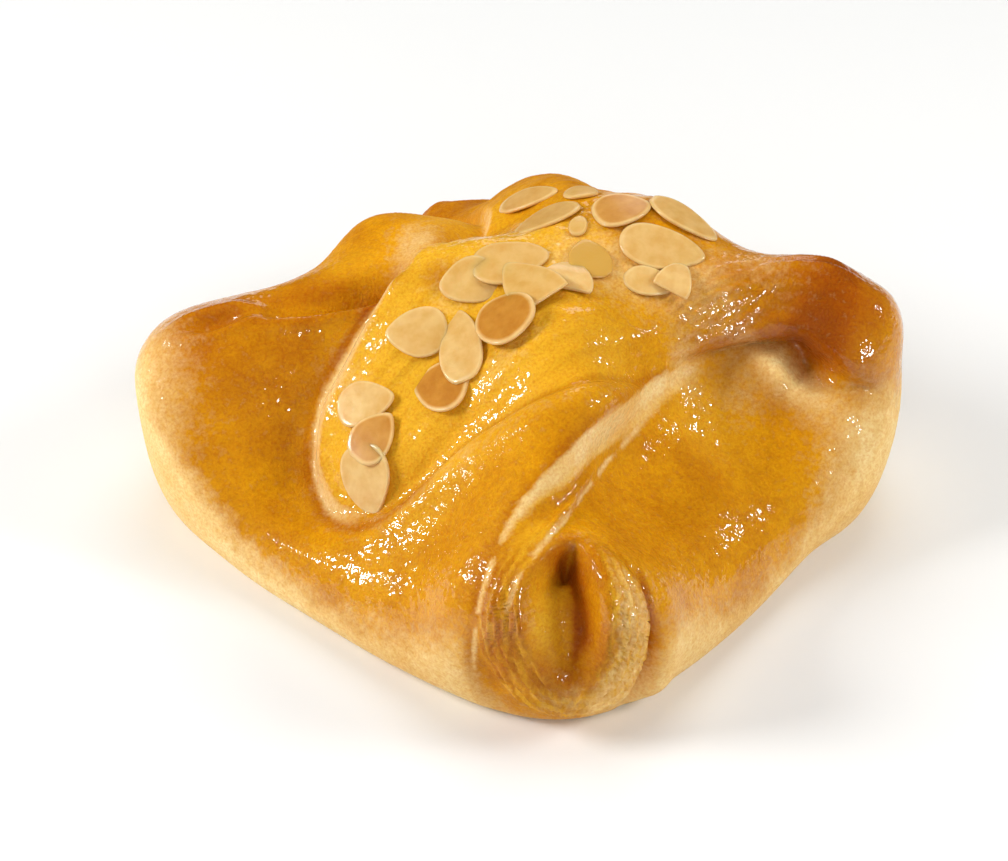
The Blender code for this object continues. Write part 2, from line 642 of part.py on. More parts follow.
def centre_and_scale(pastry):
    """Put the origin under the middle of the pastry, in metres."""
    corners = np.array([vertex.co for vertex in pastry.data.vertices])
    middle = (corners.min(axis=0) + corners.max(axis=0)) / 2
    pastry.data.transform(Matrix.Translation((-middle[0], -middle[1], 0)))
    pastry.data.transform(Matrix.Scale(MM, 4))


def baked_dough():
    """Egg-washed, golden baked dough."""
    material = bpy.data.materials.new("baked dough")
    material.use_nodes = True
    shader = material.node_tree.nodes["Principled BSDF"]
    shader.inputs["Base Color"].default_value = DOUGH_COLOUR
    shader.inputs["Roughness"].default_value = 0.35
    shader.inputs["Metallic"].default_value = 0.0
    return material


def main():
    for old in list(bpy.data.objects):
        bpy.data.objects.remove(old)
    danish = bpy.data.collections.new("cheese danish")
    bpy.context.scene.collection.children.link(danish)
    mesh, skin, u, v = dough_mesh()
    pastry = bpy.data.objects.new("pastry", mesh)
    danish.objects.link(pastry)
    coarser(pastry)
    fuse_flakes(pastry, skin, u, v)
    keep_largest_body(pastry)
    centre_and_scale(pastry)
    pastry.data.materials.clear()
    pastry.data.materials.append(baked_dough())
    pastry.data.shade_smooth()
    pastry.data.set_sharp_from_angle(angle=math.radians(40))


main()
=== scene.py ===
import bpy
import math
import numpy as np
from mathutils import Matrix, Vector


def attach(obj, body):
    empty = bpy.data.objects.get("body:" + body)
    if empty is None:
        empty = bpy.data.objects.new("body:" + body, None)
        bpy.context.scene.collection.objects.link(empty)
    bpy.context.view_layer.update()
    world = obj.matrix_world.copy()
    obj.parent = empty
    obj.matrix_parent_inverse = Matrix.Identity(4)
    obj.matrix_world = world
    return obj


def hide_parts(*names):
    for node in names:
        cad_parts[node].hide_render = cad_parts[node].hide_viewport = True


# Cheese danish: a square of sweet dough folded to the middle, egg-washed, baked, glazed, with flaked almonds.
# Lengths in the dictionaries are millimetres. Folds are placed in skin coordinates (u, v):
# millimetres along the plain loaf's skin from the crown, u towards +X and v towards +Y.

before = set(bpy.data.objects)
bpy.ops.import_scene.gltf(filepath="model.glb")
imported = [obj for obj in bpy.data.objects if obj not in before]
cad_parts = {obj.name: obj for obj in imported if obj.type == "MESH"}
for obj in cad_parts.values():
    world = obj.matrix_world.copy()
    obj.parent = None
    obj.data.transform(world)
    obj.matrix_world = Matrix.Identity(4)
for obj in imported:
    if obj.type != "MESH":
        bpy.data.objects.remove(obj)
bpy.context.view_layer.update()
mm = 0.001


# small tools for shapes

def smooth(x, low, high):
    # ease from 0 at low to 1 at high
    t = np.clip((x - low) / (high - low), 0, 1)
    return t * t * (3 - 2 * t)


def bell(x):
    # exp(-x squared): 1 at zero, fading both ways
    return np.exp(-x * x)


def ellipse(u, v, centre, radii, turn=0):
    # distance from the centre as a share of the ellipse's radius: 1 on the ellipse
    a = math.radians(turn)
    along = (u - centre[0]) * math.cos(a) + (v - centre[1]) * math.sin(a)
    across = (v - centre[1]) * math.cos(a) - (u - centre[0]) * math.sin(a)
    return np.hypot(along / radii[0], across / radii[1])


def spot(u, v, centre, radii, turn=0):
    return bell(ellipse(u, v, centre, radii, turn))


def ripple(u, v, size, seed):
    # slow, uneven waves between -1 and 1: sines of three turned directions, bent by one another
    s = 2 * math.pi / size
    a = np.sin(s * (u * .83 + v * .56) + seed)
    b = np.sin(s * 1.37 * (v * .91 - u * .42) + 2.1 * seed + 1.3 * a)
    c = np.sin(s * 1.93 * (u * .35 + v * .94) + 3.7 * seed + 1.1 * b)
    return (a + b + .7 * c) / 2.7


def betweenKnots(a, b, c, d, t):
    # Catmull-Rom: the cubic from knot b to knot c, aimed by their neighbours a and d
    return .5 * (2 * b + (c - a) * t + (2 * a - 5 * b + 4 * c - d) * t**2 + (3 * b - a - 3 * c + d) * t**3)


def curveThrough(points, closed=False, count=260):
    # evenly spaced places on the smooth curve through a few knots
    knots = np.array(points, float)
    if closed:
        spans = len(knots)
        k = np.vstack([knots[-1:], knots, knots[:2]])
    else:
        spans = len(knots) - 1
        k = np.vstack([2 * knots[0] - knots[1], knots, 2 * knots[-1] - knots[-2]])
    x = np.linspace(0, spans - 1e-9, count)
    i = x.astype(int)
    t = (x - i)[:, None]
    return betweenKnots(k[i], k[i + 1], k[i + 2], k[i + 3], t)


def gauge(points, u, v, closed=False):
    # offset to the left of the curve, share of its length, distance past its ends, unit vector to its left
    line = curveThrough(points, closed)
    heading = np.gradient(line, axis=0)
    heading /= np.linalg.norm(heading, axis=1)[:, None]
    run = np.concatenate([[0], np.cumsum(np.linalg.norm(np.diff(line, axis=0), axis=1))])
    places = np.stack([u, v], axis=1)
    nearest = np.concatenate([((block[:, None] - line[None])**2).sum(-1).argmin(1)
                              for block in np.array_split(places, len(places) // 20000 + 1)])
    away = places - line[nearest]
    ahead = heading[nearest]
    along = (away * ahead).sum(1)
    offset = ahead[:, 0] * away[:, 1] - ahead[:, 1] * away[:, 0]
    before = np.where(nearest == 0, np.maximum(-along, 0), 0)
    after = np.where(nearest == len(line) - 1, np.maximum(along, 0), 0)
    past = np.zeros_like(along) if closed else before + after
    share = np.clip((run[nearest] + np.where(past > 0, 0, along)) / run[-1], 0, 1)
    left = np.stack([-ahead[:, 1], ahead[:, 0]], axis=1)
    return offset, share, past, left


def newPiece(name, places, faces, smoothFaces=True):
    # places in millimetres -> a mesh object at the origin, in metres
    mesh = bpy.data.meshes.new(name)
    mesh.from_pydata((np.asarray(places) * mm).tolist(), [], faces)
    mesh.polygons.foreach_set("use_smooth", [smoothFaces] * len(mesh.polygons))
    mesh.update()
    piece = bpy.data.objects.new(name, mesh)
    bpy.context.scene.collection.objects.link(piece)
    return piece


def paint(piece, name, values):
    # one number per vertex, between 0 and 1, for a material to read
    layer = piece.data.attributes.new(name, "FLOAT", "POINT")
    layer.data.foreach_set("value", np.clip(values, 0, 1).astype(np.float32))


# the plain loaf

loafSizes = {
    "crownHeight": 51.5,
    "crownShift": (7, 10),            # the crown lies a little behind and right of the middle
    "sides": ((-39, 53.5), (41, 50), (137, 49), (230, 50.7)),   # facing in degrees, base distance
    "squareness": 4.5,
    # the front sides are lower and rounder than the back ones
    "backSide": {"shoulder": 27, "bulge": 13, "round": .3, "inset": 5.0, "fullness": 1.75},
    "frontSide": {"shoulder": 19, "bulge": 6.5, "round": 1.5, "inset": 7.0, "fullness": 1.5},
    # right, back, left and front: facing, reach past the outline, height of the shoulder and of the bulge,
    # width in degrees
    "corners": ((2, 5.8, 43, 21, 20), (104, -4, 29, 17, 22), (178, 2, 38.5, 26, 19), (-82.5, -2, 38, 22, 21)),
    "tucks": ((-13, 6.0, 21), (178, .8, 25)),         # facing, more tuck there, width in degrees
    "cornerInset": 7.0,
    "bulgeReach": (3.2, 1.8),
    "cornerFullness": 1.5,
    "crownBluntness": .4,
    "cornerRound": .9,
    "baseTuck": 2.2,
    "footHeight": 1.6,
    "tableSteps": (360, 120),         # round the loaf and down its side, for measuring along the skin
}


def profilePoint(stations, rho):
    # radius and height on the smooth curve through a profile's stations
    spans = len(stations) - 1
    x = np.clip(rho * spans, 0, spans - 1e-9)
    i = x.astype(int)
    t = x - i
    column = np.arange(rho.size)
    out = []
    for axis in range(2):
        rows = stations[:, axis]
        k = np.concatenate([2 * rows[:1] - rows[1:2], rows, 2 * rows[-1:] - rows[-2:-1]])
        out.append(betweenKnots(*(k[i + step, column] for step in range(4)), t))
    return np.maximum(out[0], 0), out[1]


def loaf(angle, rho):
    # polar surface: the outline is a reciprocal p-norm of the four side distances plus a bell at each corner,
    # and every direction has one profile from the crown (rho 0) over the bulge to the base edge (rho 1)
    s = loafSizes
    near = sum((np.maximum(np.cos(angle - math.radians(f)), 0) / d)**s["squareness"] for f, d in s["sides"])
    radius = near**(-1 / s["squareness"])
    front = smooth(np.sin(angle), 0, -.6)
    side = {k: back + (s["frontSide"][k] - back) * front for k, back in s["backSide"].items()}
    shoulder, bulge, corner = side["shoulder"], side["bulge"], 0
    broad = shoulder
    tuck = 0
    for facing, more, width in s["tucks"]:
        away = (angle - math.radians(facing) + np.pi) % (2 * np.pi) - np.pi
        tuck = tuck + more * bell(away / math.radians(width))
    for facing, reach, cornerShoulder, cornerBulge, width in s["corners"]:
        away = (angle - math.radians(facing) + np.pi) % (2 * np.pi) - np.pi
        share = np.exp(-np.abs(away / math.radians(width))**2.2)
        radius = radius + reach * bell(away / math.radians(.75 * width))
        shoulder = shoulder + (cornerShoulder - shoulder) * share
        broad = broad + (cornerShoulder - broad) * .8 * bell(away / math.radians(1.9 * width))
        bulge = bulge + (cornerBulge - bulge) * share
        corner = corner + share
    corner = np.clip(corner, 0, 1)
    full = side["fullness"] + (s["cornerFullness"] - side["fullness"]) * corner
    top = radius - side["inset"] - (s["cornerInset"] - side["inset"]) * corner
    wide = radius + s["bulgeReach"][0] + s["bulgeReach"][1] * corner
    rounded = side["round"] * (1 - corner) + s["cornerRound"] * corner
    blunt = s["crownBluntness"]
    stations = []
    for k in (0, .26, .52, .76, .93):
        fall = ((k * k + blunt**2)**(full / 2) - blunt**full) / ((1 + blunt**2)**(full / 2) - blunt**full)
        foot = broad + (shoulder - broad) * smooth(k, .3, 1)
        stations.append((k * top, foot + (s["crownHeight"] - foot) * (1 - fall)))
    stations += [(.45 * top + .55 * wide, .88 * shoulder + .12 * bulge - 1.2),
                 (wide - rounded, .55 * bulge + .45 * shoulder),
                 (wide, bulge),
                 (wide - .25 * (wide - radius) - .3 * tuck, .42 * bulge),
                 (wide - .8 * (wide - radius) - .75 * tuck, np.full_like(bulge, s["footHeight"])),
                 (radius - s["baseTuck"] - tuck, np.zeros_like(bulge))]
    r, z = profilePoint(np.array(stations), rho)
    k = np.clip(2 * rho, 0, 1)
    shift = (1 - k)**2 * (1 + 2 * k)
    return np.stack([r * np.cos(angle) + s["crownShift"][0] * shift,
                     r * np.sin(angle) + s["crownShift"][1] * shift, np.maximum(z, 0)], axis=-1)


def skinCoordinates(angle, rho):
    # arc length from the crown along each profile, read from a table over angle and rho
    turns, steps = loafSizes["tableSteps"]
    a, r = np.meshgrid(np.linspace(-np.pi, np.pi, turns + 1), np.linspace(0, 1, steps + 1), indexing="ij")
    table = loaf(a.ravel(), r.ravel()).reshape(turns + 1, steps + 1, 3)
    pieces = np.linalg.norm(np.diff(table, axis=1), axis=2)
    run = np.concatenate([np.zeros((turns + 1, 1)), np.cumsum(pieces, axis=1)], axis=1)
    x, y = (angle + np.pi) / (2 * np.pi) * turns, rho * steps
    i, j = np.clip(x.astype(int), 0, turns - 1), np.clip(y.astype(int), 0, steps - 1)
    f, g = x - i, y - j
    upper = run[i, j] * (1 - f) + run[i + 1, j] * f
    lower = run[i, j + 1] * (1 - f) + run[i + 1, j + 1] * f
    length = upper * (1 - g) + lower * g
    return length * np.cos(angle), length * np.sin(angle)


def onDisc(p, q):
    # a square bent onto a disc, its corners at the loaf's corners; rho is eased for finer faces on top
    x, y = p * np.sqrt(1 - q * q / 2), q * np.sqrt(1 - p * p / 2)
    r = np.clip(np.hypot(x, y), 0, 1)
    return np.arctan2(x + y, x - y), .58 * r + .42 * r**4


# the folds, as height over the loaf, sideways push for overhangs, and marks for the paint

foldLines = {
    "frontSeam": ((36, -14), (27, -21.5), (18, -34), (8, -48.3), (-1, -59.5), (-6, -69.5), (-9.5, -79),
                  (-11.5, -90), (-9, -101), (-5, -110)),
    "overlay": ((34, -16), (22.5, -26), (11, -33), (2.5, -37.5), (-6, -39.8), (-15, -42), (-26.5, -46.8),
                (-36, -48.6), (-43, -46), (-49, -40.5), (-51.3, -33.5), (-50, -28), (-47.5, -24),
                (-43.2, -20.2), (-39.2, -16.3), (-34.5, -11.3), (-29.5, -6.5), (-25.5, -2), (-19.5, 4),
                (-13, 13), (-9, 24), (-13, 45), (-26, 60), (-30, 76)),
    "swirlRim": ((11.5, -65.3), (7.5, -66.8), (4.2, -70), (1.6, -74), (.6, -78.3), (1.3, -83), (4, -88.5),
                 (8.5, -93.3), (13.4, -93.4), (16.4, -88.3), (16.8, -82), (16, -76), (14.8, -70.4),
                 (13.6, -66.6)),
    "swirlGroove": ((13, -59.5), (17, -62.5), (20.5, -66), (24.4, -70.8), (27.4, -77.5), (30, -84.9),
                    (31, -92), (30, -100), (27, -108)),
    "rightRoll": ((26, -20.5), (33, -13.6), (40.5, -9), (47, -7), (52, -8.5), (57, -10.5), (63, -10.5),
                  (70, -8)),
    "leftLip": ((-60, -3.6), (-48, -5.8), (-38, -6.2), (-30, -5.5)),
}
foldSizes = {
    "seamDrop": 6.8,          # from the front-left flap down to the front-right flap
    "seamFace": 9.5,          # widest part of the slope below the cut edge
    "seamReach": 15,          # how far the drop runs on past its slope
    "paleFace": 5.5,          # widest part of the bare cut face
    "overlayStep": 6.0,       # thickness of the top flap's free edge
    "overlayCrease": 2.6,
    "swirlDepth": 9.2,
    "swirlBand": 12.0,        # width of the dough band round the hollow
    "bandSwell": 2.4,
    "rollRadius": 7.5,
    "rollDrop": 6.6,
    "rollReach": 11,          # how far the dough under the roll stays sunk
    "lipDrop": 4.2,
    "knobMiddle": (56, -3.5),
    "knobRadii": (10, 8.5),
    "knobTurn": -12,
    "knobHeight": 3.0,
    "unevenness": .45,
    "striation": .22,         # fine ridges where dough was cut or stretched
    "pullHeight": .3,         # longer ridges along the top flap
    "pullWidth": 7,
}
# how a size changes along its fold: shares of the fold's length, or for the first two millimetres towards the
# front, and the values there
foldCourses = {
    "seamDrop": ((14, 19, 27, 44, 57, 66, 75, 90, 110), (0, .38, .76, 1, .91, .59, .3, .24, .09)),
    "seamFace": ((14, 21, 31, 38, 47, 58, 69, 110), (.2, .45, .6, .75, .9, .95, .8, .42)),
    "paleFace": ((0, .1, .2, .28, .39, .45, .51, .58, 1), (.3, .75, 1, 1, .72, .58, .3, .1, .08)),
    "seamPillow": ((0, .15, .3, .7, .85, 1), (0, 0, 1, 1, 0, 0)),
    "footLip": ((0, .28, .36, .5, .6, .66), (0, 0, .9, 1.5, .75, 0)),
    "overlayStep": ((0, .32, .38, .44, .52, .6, .7, 1), (0, 0, .33, .73, 1, .93, .73, .3)),
    "overlaySoftness": ((0, .3, .36, .42, .7, 1), (5, 5, 3.2, 2.6, 2.2, 4)),
    "overlayReach": ((0, .3, .4, .5, 1), (5, 5, 8, 15, 18)),
    "overlayCrease": ((0, .05, .3, .38, .44, 1), (.15, .77, 1, .6, 0, 0)),
    "creaseLip": ((0, .06, .15, .3, .36, 1), (0, .8, 1.6, 1.6, .48, 0)),
    "tipPillow": ((.34, .4, .5, .56, 1), (0, 2.2, 2.0, .9, .9)),
    "tipPillowWidth": ((.5, .6), (4.2, 2)),
    "overlaySwell": ((0, .1, .4, 1), (0, .8, 1, .5)),
    "yellowLip": ((0, .1, .25, .38, 1), (0, .2, 1, .4, 0)),
    "grooveDepth": ((0, .16, .34, .8, 1), (0, .3, 2.2, 2.8, 1)),
    "grooveSwell": ((0, .16, .4, .7, 1), (0, 0, 1.3, 1.3, 0)),
    "rollAmount": ((0, .1, .24, .62, .95), (0, .5, 1, 1, 0)),
    "lipAmount": ((0, .25, 1), (0, .8, 1)),
}
# middle, radii, turn, height
swells = (
    ((18, 9), (12.5, 10), 0, 5.0),        # shoulder of the crown towards the right corner
    ((47, 4), (9, 8), 0, 2.6),            # back of the roll
    ((-5, 57), (11, 15), 0, -4.2),        # back slope
    ((-10, 10), (9, 9), 0, -5.0),         # left of the crown
    ((42, 15), (14, 9), 0, -3.5),         # dip above the roll
    ((57, 9), (9, 8), 0, 2.0),            # top of the right knob
    ((59, -1), (8, 8), 0, 1.6),           # right knob
    ((51.5, -10.8), (4, 2.6), -15, -3.0), # hollow under the roll
    ((41, -42), (18, 9), 51, 2.2),        # front-right flap
    ((44.5, -13), (8, 1.9), -16, 1.5),    # fold beside that hollow
    ((84, -20), (18, 12), 0, 3.2),        # side under the right knob
    ((-35, 1), (4.5, 5), 0, -2.8),        # pocket behind the left lip
    ((-23, 8), (3.6, 13), -25, 2.6),      # edge of the back-left flap
    ((-15, 12), (2.4, 10), -25, -1.8),    # groove beside it
    ((-30, 23), (13, 11), 0, 7.0),        # swell of the back-left flap
    ((-15, 50), (8, 10), 0, 2.5),         # small swell near the back corner
)
# left and back: middle, radii, turn, depth of the middle, height of the ring round it
curledCorners = (((-63.5, -1.6), (6.2, 3.0), 0, 2.2, .7), ((-14, 64), (9, 5), 104, 6.0, .8))


def course(name, share):
    return np.interp(share, *foldCourses[name])


def stripes(offset, width, wobble, waveSize, seed, u, v):
    # sine of the offset, one turn for each stripe, bent by slow waves
    return np.sin(2 * np.pi * (offset / width + wobble * ripple(u, v, waveSize, seed)))


def frontSeam(u, v, tone):
    # height = -drop x eased slope below the cut edge, plus a pillow before the edge and a lip at the foot
    s = foldSizes
    off, share, past, left = gauge(foldLines["frontSeam"], u, v)
    drop = s["seamDrop"] * course("seamDrop", -v)
    width = s["seamFace"] * course("seamFace", -v)
    pale = s["paleFace"] * course("paleFace", share)
    slope = np.clip(off / width, 0, 1)
    level = bell(np.maximum(off - width, 0) / s["seamReach"]) * smooth(u * .5 - v, 120, 92)
    h = -drop * (1 - (1 - slope)**1.8) * level
    h -= .5 * np.where(off < 0, bell(off / 1.3), bell(off / 4)) * smooth(share, 0, .1)
    h += bell((off + 7) / 6) * course("seamPillow", share)
    h += bell((off - width + 1.6) / 1.3) * course("footLip", share)
    onFace = smooth(off, -.2, .5) * smooth(off - pale, .7, -.5)
    onFace = onFace * smooth(share, .02, .08) * smooth(share, .62, .52)
    h += s["striation"] * onFace * stripes(off, 1.15, .35, 9, 1, u, v)
    tone["cutFace"] = onFace
    tone["cutLower"] = onFace * smooth(off, .4 * pale, .9 * pale)
    tone["seamEdge"] = bell((off + .5) / 1.2) * smooth(share, .04, .15)
    # painted highlight: broken pale lines below the cut face and on the edge beside the swirl, for glints on
    # the glaze
    tone["seamFootHighlight"] = bell((off - width + .2) / .55) * smooth(share, .1, .2) * smooth(share, .74, .66) \
        * smooth(ripple(u, v, 9, 14), -.7, .1)
    tone["edgeHighlight"] = bell((off - .2) / .5) * smooth(share, .45, .52) * smooth(share, .84, .76) \
        * smooth(ripple(u, v, 11, 16), -.9, -.2)
    return h, off


def topFlap(u, v, tone):
    # height = -step past the free edge, with a crease along the front edge, pillows on both sides and long
    # ridges; the free edge is pushed outwards over its own foot
    s = foldSizes
    off, share, past, left = gauge(foldLines["overlay"], u, v)
    soft, reach = course("overlaySoftness", share), course("overlayReach", share)
    outside = bell(np.maximum(off, 0) / reach)
    h = -s["overlayStep"] * course("overlayStep", share) * smooth(off, -.25 * soft, soft) * outside
    crease = s["overlayCrease"] * course("overlayCrease", share)
    h -= crease * np.where(off > 0, bell(off / 1.8), bell(off / 6))
    h += bell((off - 5.5) / 4) * course("creaseLip", share)
    inside = bell(off / course("tipPillowWidth", share))
    h -= course("tipPillow", share) * np.where(off < 0, inside, bell(off / reach))
    h += bell((off + 9) / 6) * course("overlaySwell", share)
    push = left * (.7 * bell((off - .4) / 1.5) * smooth(share, .36, .46) * smooth(share, 1, .8))[:, None]
    tone["overlay"] = smooth(off, .5, -1) * smooth(u, 30, 5) * smooth(share, .02, .06)
    tone["overlayWall"] = smooth(off, -.6, .2) * smooth(off, 3.6, 1.6) * smooth(share, .34, .42)
    # the crease line and the feet of the tip and of the wall are marks for painted shade
    tone["creaseShade"] = bell(off / .9) * smooth(share, .02, .08) * smooth(share, .42, .3)
    tone["tipFootShade"] = bell((off - 3.2) / 1.6) * smooth(share, .25, .31) * smooth(share, .50, .42)
    tone["wallFootShade"] = bell((off - 3.6) / 1.0) * smooth(share, .46, .52) * smooth(share, .70, .62)
    tone["lip"] = bell((off - 4) / 3) * course("yellowLip", share)
    along, across = .85 * u + .53 * v, .85 * v - .53 * u
    h += s["pullHeight"] * ripple(.25 * along, across, s["pullWidth"], 15) * tone["overlay"]
    return h, push


def frontSwirl(u, v, seamOff, tone):
    # height = -depth x (1 - exp(-(distance inside the rim / wall width)^1.6)), with a half-sine band outside
    # the rim, a crest on the rim, and a groove to the right of the band
    s = foldSizes
    off, share, past, left = gauge(foldLines["swirlRim"], u, v, closed=True)
    inward = np.maximum(off, 0)
    band = np.clip(-off / s["swirlBand"], 0, 1)
    depth = s["swirlDepth"] * (.30 + .70 * smooth(v, -93, -73))
    wall = 2.0 + 2.4 * smooth(u, 11, 5) * smooth(v, -72, -81)
    h = -depth * (1 - np.exp(-(inward / wall)**1.6))
    here = smooth(v, -60, -76) * smooth(v, -116, -100)
    h += s["bandSwell"] * np.sin(np.pi * band)**.8 * here * (off < 0) * smooth(seamOff, -1, 4)
    h += (.7 + .7 * smooth(u, 8, 3)) * bell((off + .9) / 1.2) * here
    onBand = smooth(band, .02, .12) * smooth(band, 1, .85) * here * smooth(seamOff, 0, 2)
    h += 1.8 * s["striation"] * onBand * stripes(off, 1.5, .4, 11, 2, u, v)
    wave, small = ripple(u, v, 11, 2), ripple(u, v, 4, 8)
    # the inside of the hollow, darkened by the paint as painted shade
    tone["hollow"] = smooth(inward, .2, 2.5)
    tone["streak"] = .5 + .5 * np.sin(2 * np.pi * (off / 1.4 + .5 * wave) + 2 * small)
    tone["rim"] = bell((off + .5) / 1.4) * here
    tone["band"] = onBand
    wave, small = ripple(u, v, 12, 9), ripple(u, v, 3.5, 11)
    tone["bandStripe"] = onBand * (.5 + .5 * np.sin(2 * np.pi * (off / 2.3 + .45 * wave) + small))
    rimOff = off
    off, share, past, left = gauge(foldLines["swirlGroove"], u, v)
    h -= course("grooveDepth", share) * bell(off / 1.3) * bell(past / 2)
    h += course("grooveSwell", share) * bell((off - 5) / 4) * bell(past / 3)
    # the groove's line, darkened by the paint as painted shade
    tone["groove"] = bell(off / 1.4) * bell(past / 2) * smooth(share, .12, .4)
    tone["rightArm"] = smooth(off, -1, -3.5) * smooth(off, -15, -12) * smooth(rimOff, -1.5, -3.5) \
        * here * smooth(u, 14, 18)
    return h


def rightRoll(u, v, tone):
    # a quarter-round over the roll's lower edge, drop x (sqrt(1 - (1 - rise)^2) - 1), with the edge pushed
    # out over the front-right flap
    s = foldSizes
    off, share, past, left = gauge(foldLines["rightRoll"], u, v)
    amount = course("rollAmount", share) * bell(past / 5)
    rise = np.clip(off / s["rollRadius"], 0, 1)
    rounding = np.sqrt(np.clip(1 - (1 - rise)**2, 0, 1)) - 1
    h = s["rollDrop"] * amount * rounding * np.exp(-(np.maximum(-off, 0) / s["rollReach"])**1.6)
    h += 2 * bell((off - 8) / 4.5) * amount * smooth(u, 56, 46)
    push = -left * (2.0 * bell((off - 1.6) / 1.8) * amount)[:, None]
    onRoll = smooth(off, 0, 2) * smooth(off, 13, 8) * smooth(share, .02, .12) * smooth(u, 58, 46)
    h += 1.5 * s["striation"] * onRoll * stripes(off, 1.6, .5, 14, 3, u, v)
    wave, small = ripple(u, v, 15, 12), ripple(u, v, 4, 13)
    tone["rollStripe"] = onRoll * (.5 + .5 * np.sin(2 * np.pi * (off / 2.1 + .5 * wave) + small))
    # the roll's underside and foot, darkened by the paint as painted shade
    tone["rollUnderShade"] = bell((off - 1.2) / 1.9) * amount
    return h, push


def leftLip(u, v, tone):
    # a lip with the back-left flap tucked in behind it
    off, share, past, left = gauge(foldLines["leftLip"], u, v)
    amount = course("lipAmount", share) * bell(past / 3)
    tone["leftLip"] = bell((off + 1) / 1.5) * amount
    drop = foldSizes["lipDrop"] * smooth(off, -.4, 2.4) * bell(np.maximum(off, 0) / 11)
    return amount * (.9 * bell((off + 1.8) / 1.6) - drop)


def rightKnob(u, v, tone):
    # a blunt dome below, 1 - distance^2.6, and a bell above
    s = foldSizes
    ring = ellipse(u, v, s["knobMiddle"], s["knobRadii"], s["knobTurn"])
    upper = smooth(v + .2 * (u - 57), -11, -5)
    tone["knob"] = smooth(ring, 1.05, .75)
    return s["knobHeight"] * ((1 - upper) * (1 - np.minimum(ring, 1)**2.6) + upper * bell(1.1 * ring))


def foldDough(u, v):
    # the folds' heights and pushes, added up, with the marks that the paint uses
    tone = {}
    h, seamOff = frontSeam(u, v, tone)
    flap, flapPush = topFlap(u, v, tone)
    roll, rollPush = rightRoll(u, v, tone)
    h = h + flap + frontSwirl(u, v, seamOff, tone) + roll + leftLip(u, v, tone) + rightKnob(u, v, tone)
    for middle, radii, turn, deep, rim in curledCorners:
        ring = ellipse(u, v, middle, radii, turn)
        h += rim * bell((ring - 1.35) / .35) - deep * (1 - smooth(ring, .3, 1.1))
    for middle, radii, turn, height in swells:
        h += height * spot(u, v, middle, radii, turn)
    waves = np.sin(u / 9 + 1) * np.cos(v / 11 + 2) + .7 * np.sin(u / 6.3 + v / 7.1)
    h += foldSizes["unevenness"] * waves * bell(np.hypot(u, v) / 70)
    return h, flapPush + rollPush, tone


# the folded dough

doughSizes = {
    "gridLines": 315,        # each way: 198,448 triangles with the base
    "baseFade": 5.0,         # the folds die out over this height above the base
    "crust": .08,            # height of the fine bumps in the crust
    "evenings": 30,          # how often the net of points is evened out
    "stride": .45,           # how far a point moves each time
}


def plainSkin(p, q):
    angle, rho = onDisc(p, q)
    return loaf(angle, rho), np.stack(skinCoordinates(angle, rho), axis=1)


def foldedSkin(p, q):
    # plain loaf + outward normal x fold height + skin tangents x sideways push
    places, uv = plainSkin(p, q)
    nudge = .002
    pLow, pHigh, qLow, qHigh = (np.clip(g, -1, 1) for g in (p - nudge, p + nudge, q - nudge, q + nudge))
    a, b = plainSkin(pLow, q), plainSkin(pHigh, q)
    e, f = plainSkin(p, qLow), plainSkin(p, qHigh)
    slopeP, slopeQ = b[0] - a[0], f[0] - e[0]
    turnP, turnQ = b[1] - a[1], f[1] - e[1]
    outward = np.cross(slopeP, slopeQ)
    outward /= np.maximum(np.linalg.norm(outward, axis=1), 1e-9)[:, None]
    area = turnP[:, 0] * turnQ[:, 1] - turnP[:, 1] * turnQ[:, 0]
    area = np.where(np.abs(area) < 1e-7, 1e-7, area)[:, None]
    alongU = (slopeP * turnQ[:, 1:] - slopeQ * turnP[:, 1:]) / area
    alongV = (slopeQ * turnP[:, :1] - slopeP * turnQ[:, :1]) / area
    u, v = uv.T
    height, push, tone = foldDough(u, v)
    height += doughSizes["crust"] * ripple(u, v, 3.1, 4) * ripple(u, v, 5.3, 5)
    fade = smooth(places[:, 2], 0, doughSizes["baseFade"])[:, None]
    skin = places + fade * (outward * height[:, None] + alongU * push[:, :1] + alongV * push[:, 1:])
    skin[:, 2] = np.maximum(skin[:, 2], 0)
    return skin, u, v, outward[:, 2], tone


def evenNet(p, q, skin):
    # each inner point of the net moves towards the neighbours it is farther from on the folded skin, so that
    # steep folds get as many faces as flat places; lengths are read off the first skin, between its points
    n = doughSizes["gridLines"]
    p, q, first = p.reshape(n, n), q.reshape(n, n), skin.reshape(n, n, 3)
    before, inner, after = slice(0, -2), slice(1, -1), slice(2, None)
    for step in range(doughSizes["evenings"]):
        x, y = (p + 1) / 2 * (n - 1), (q + 1) / 2 * (n - 1)
        i, j = np.clip(x.astype(int), 0, n - 2), np.clip(y.astype(int), 0, n - 2)
        f, g = (x - i)[..., None], (y - j)[..., None]
        low = first[j, i] * (1 - f) + first[j, i + 1] * f
        high = first[j + 1, i] * (1 - f) + first[j + 1, i + 1] * f
        now = low * (1 - g) + high * g
        total, newP, newQ = 1e-9, 0, 0
        for down, across in ((before, inner), (after, inner), (inner, before), (inner, after)):
            far = .2 + np.linalg.norm(now[down, across] - now[inner, inner], axis=-1)
            total = total + far
            newP = newP + far * p[down, across]
            newQ = newQ + far * q[down, across]
        p, q = p.copy(), q.copy()
        p[inner, inner] += doughSizes["stride"] * (newP / total - p[inner, inner])
        q[inner, inner] += doughSizes["stride"] * (newQ / total - q[inner, inner])
    return p.ravel(), q.ravel()


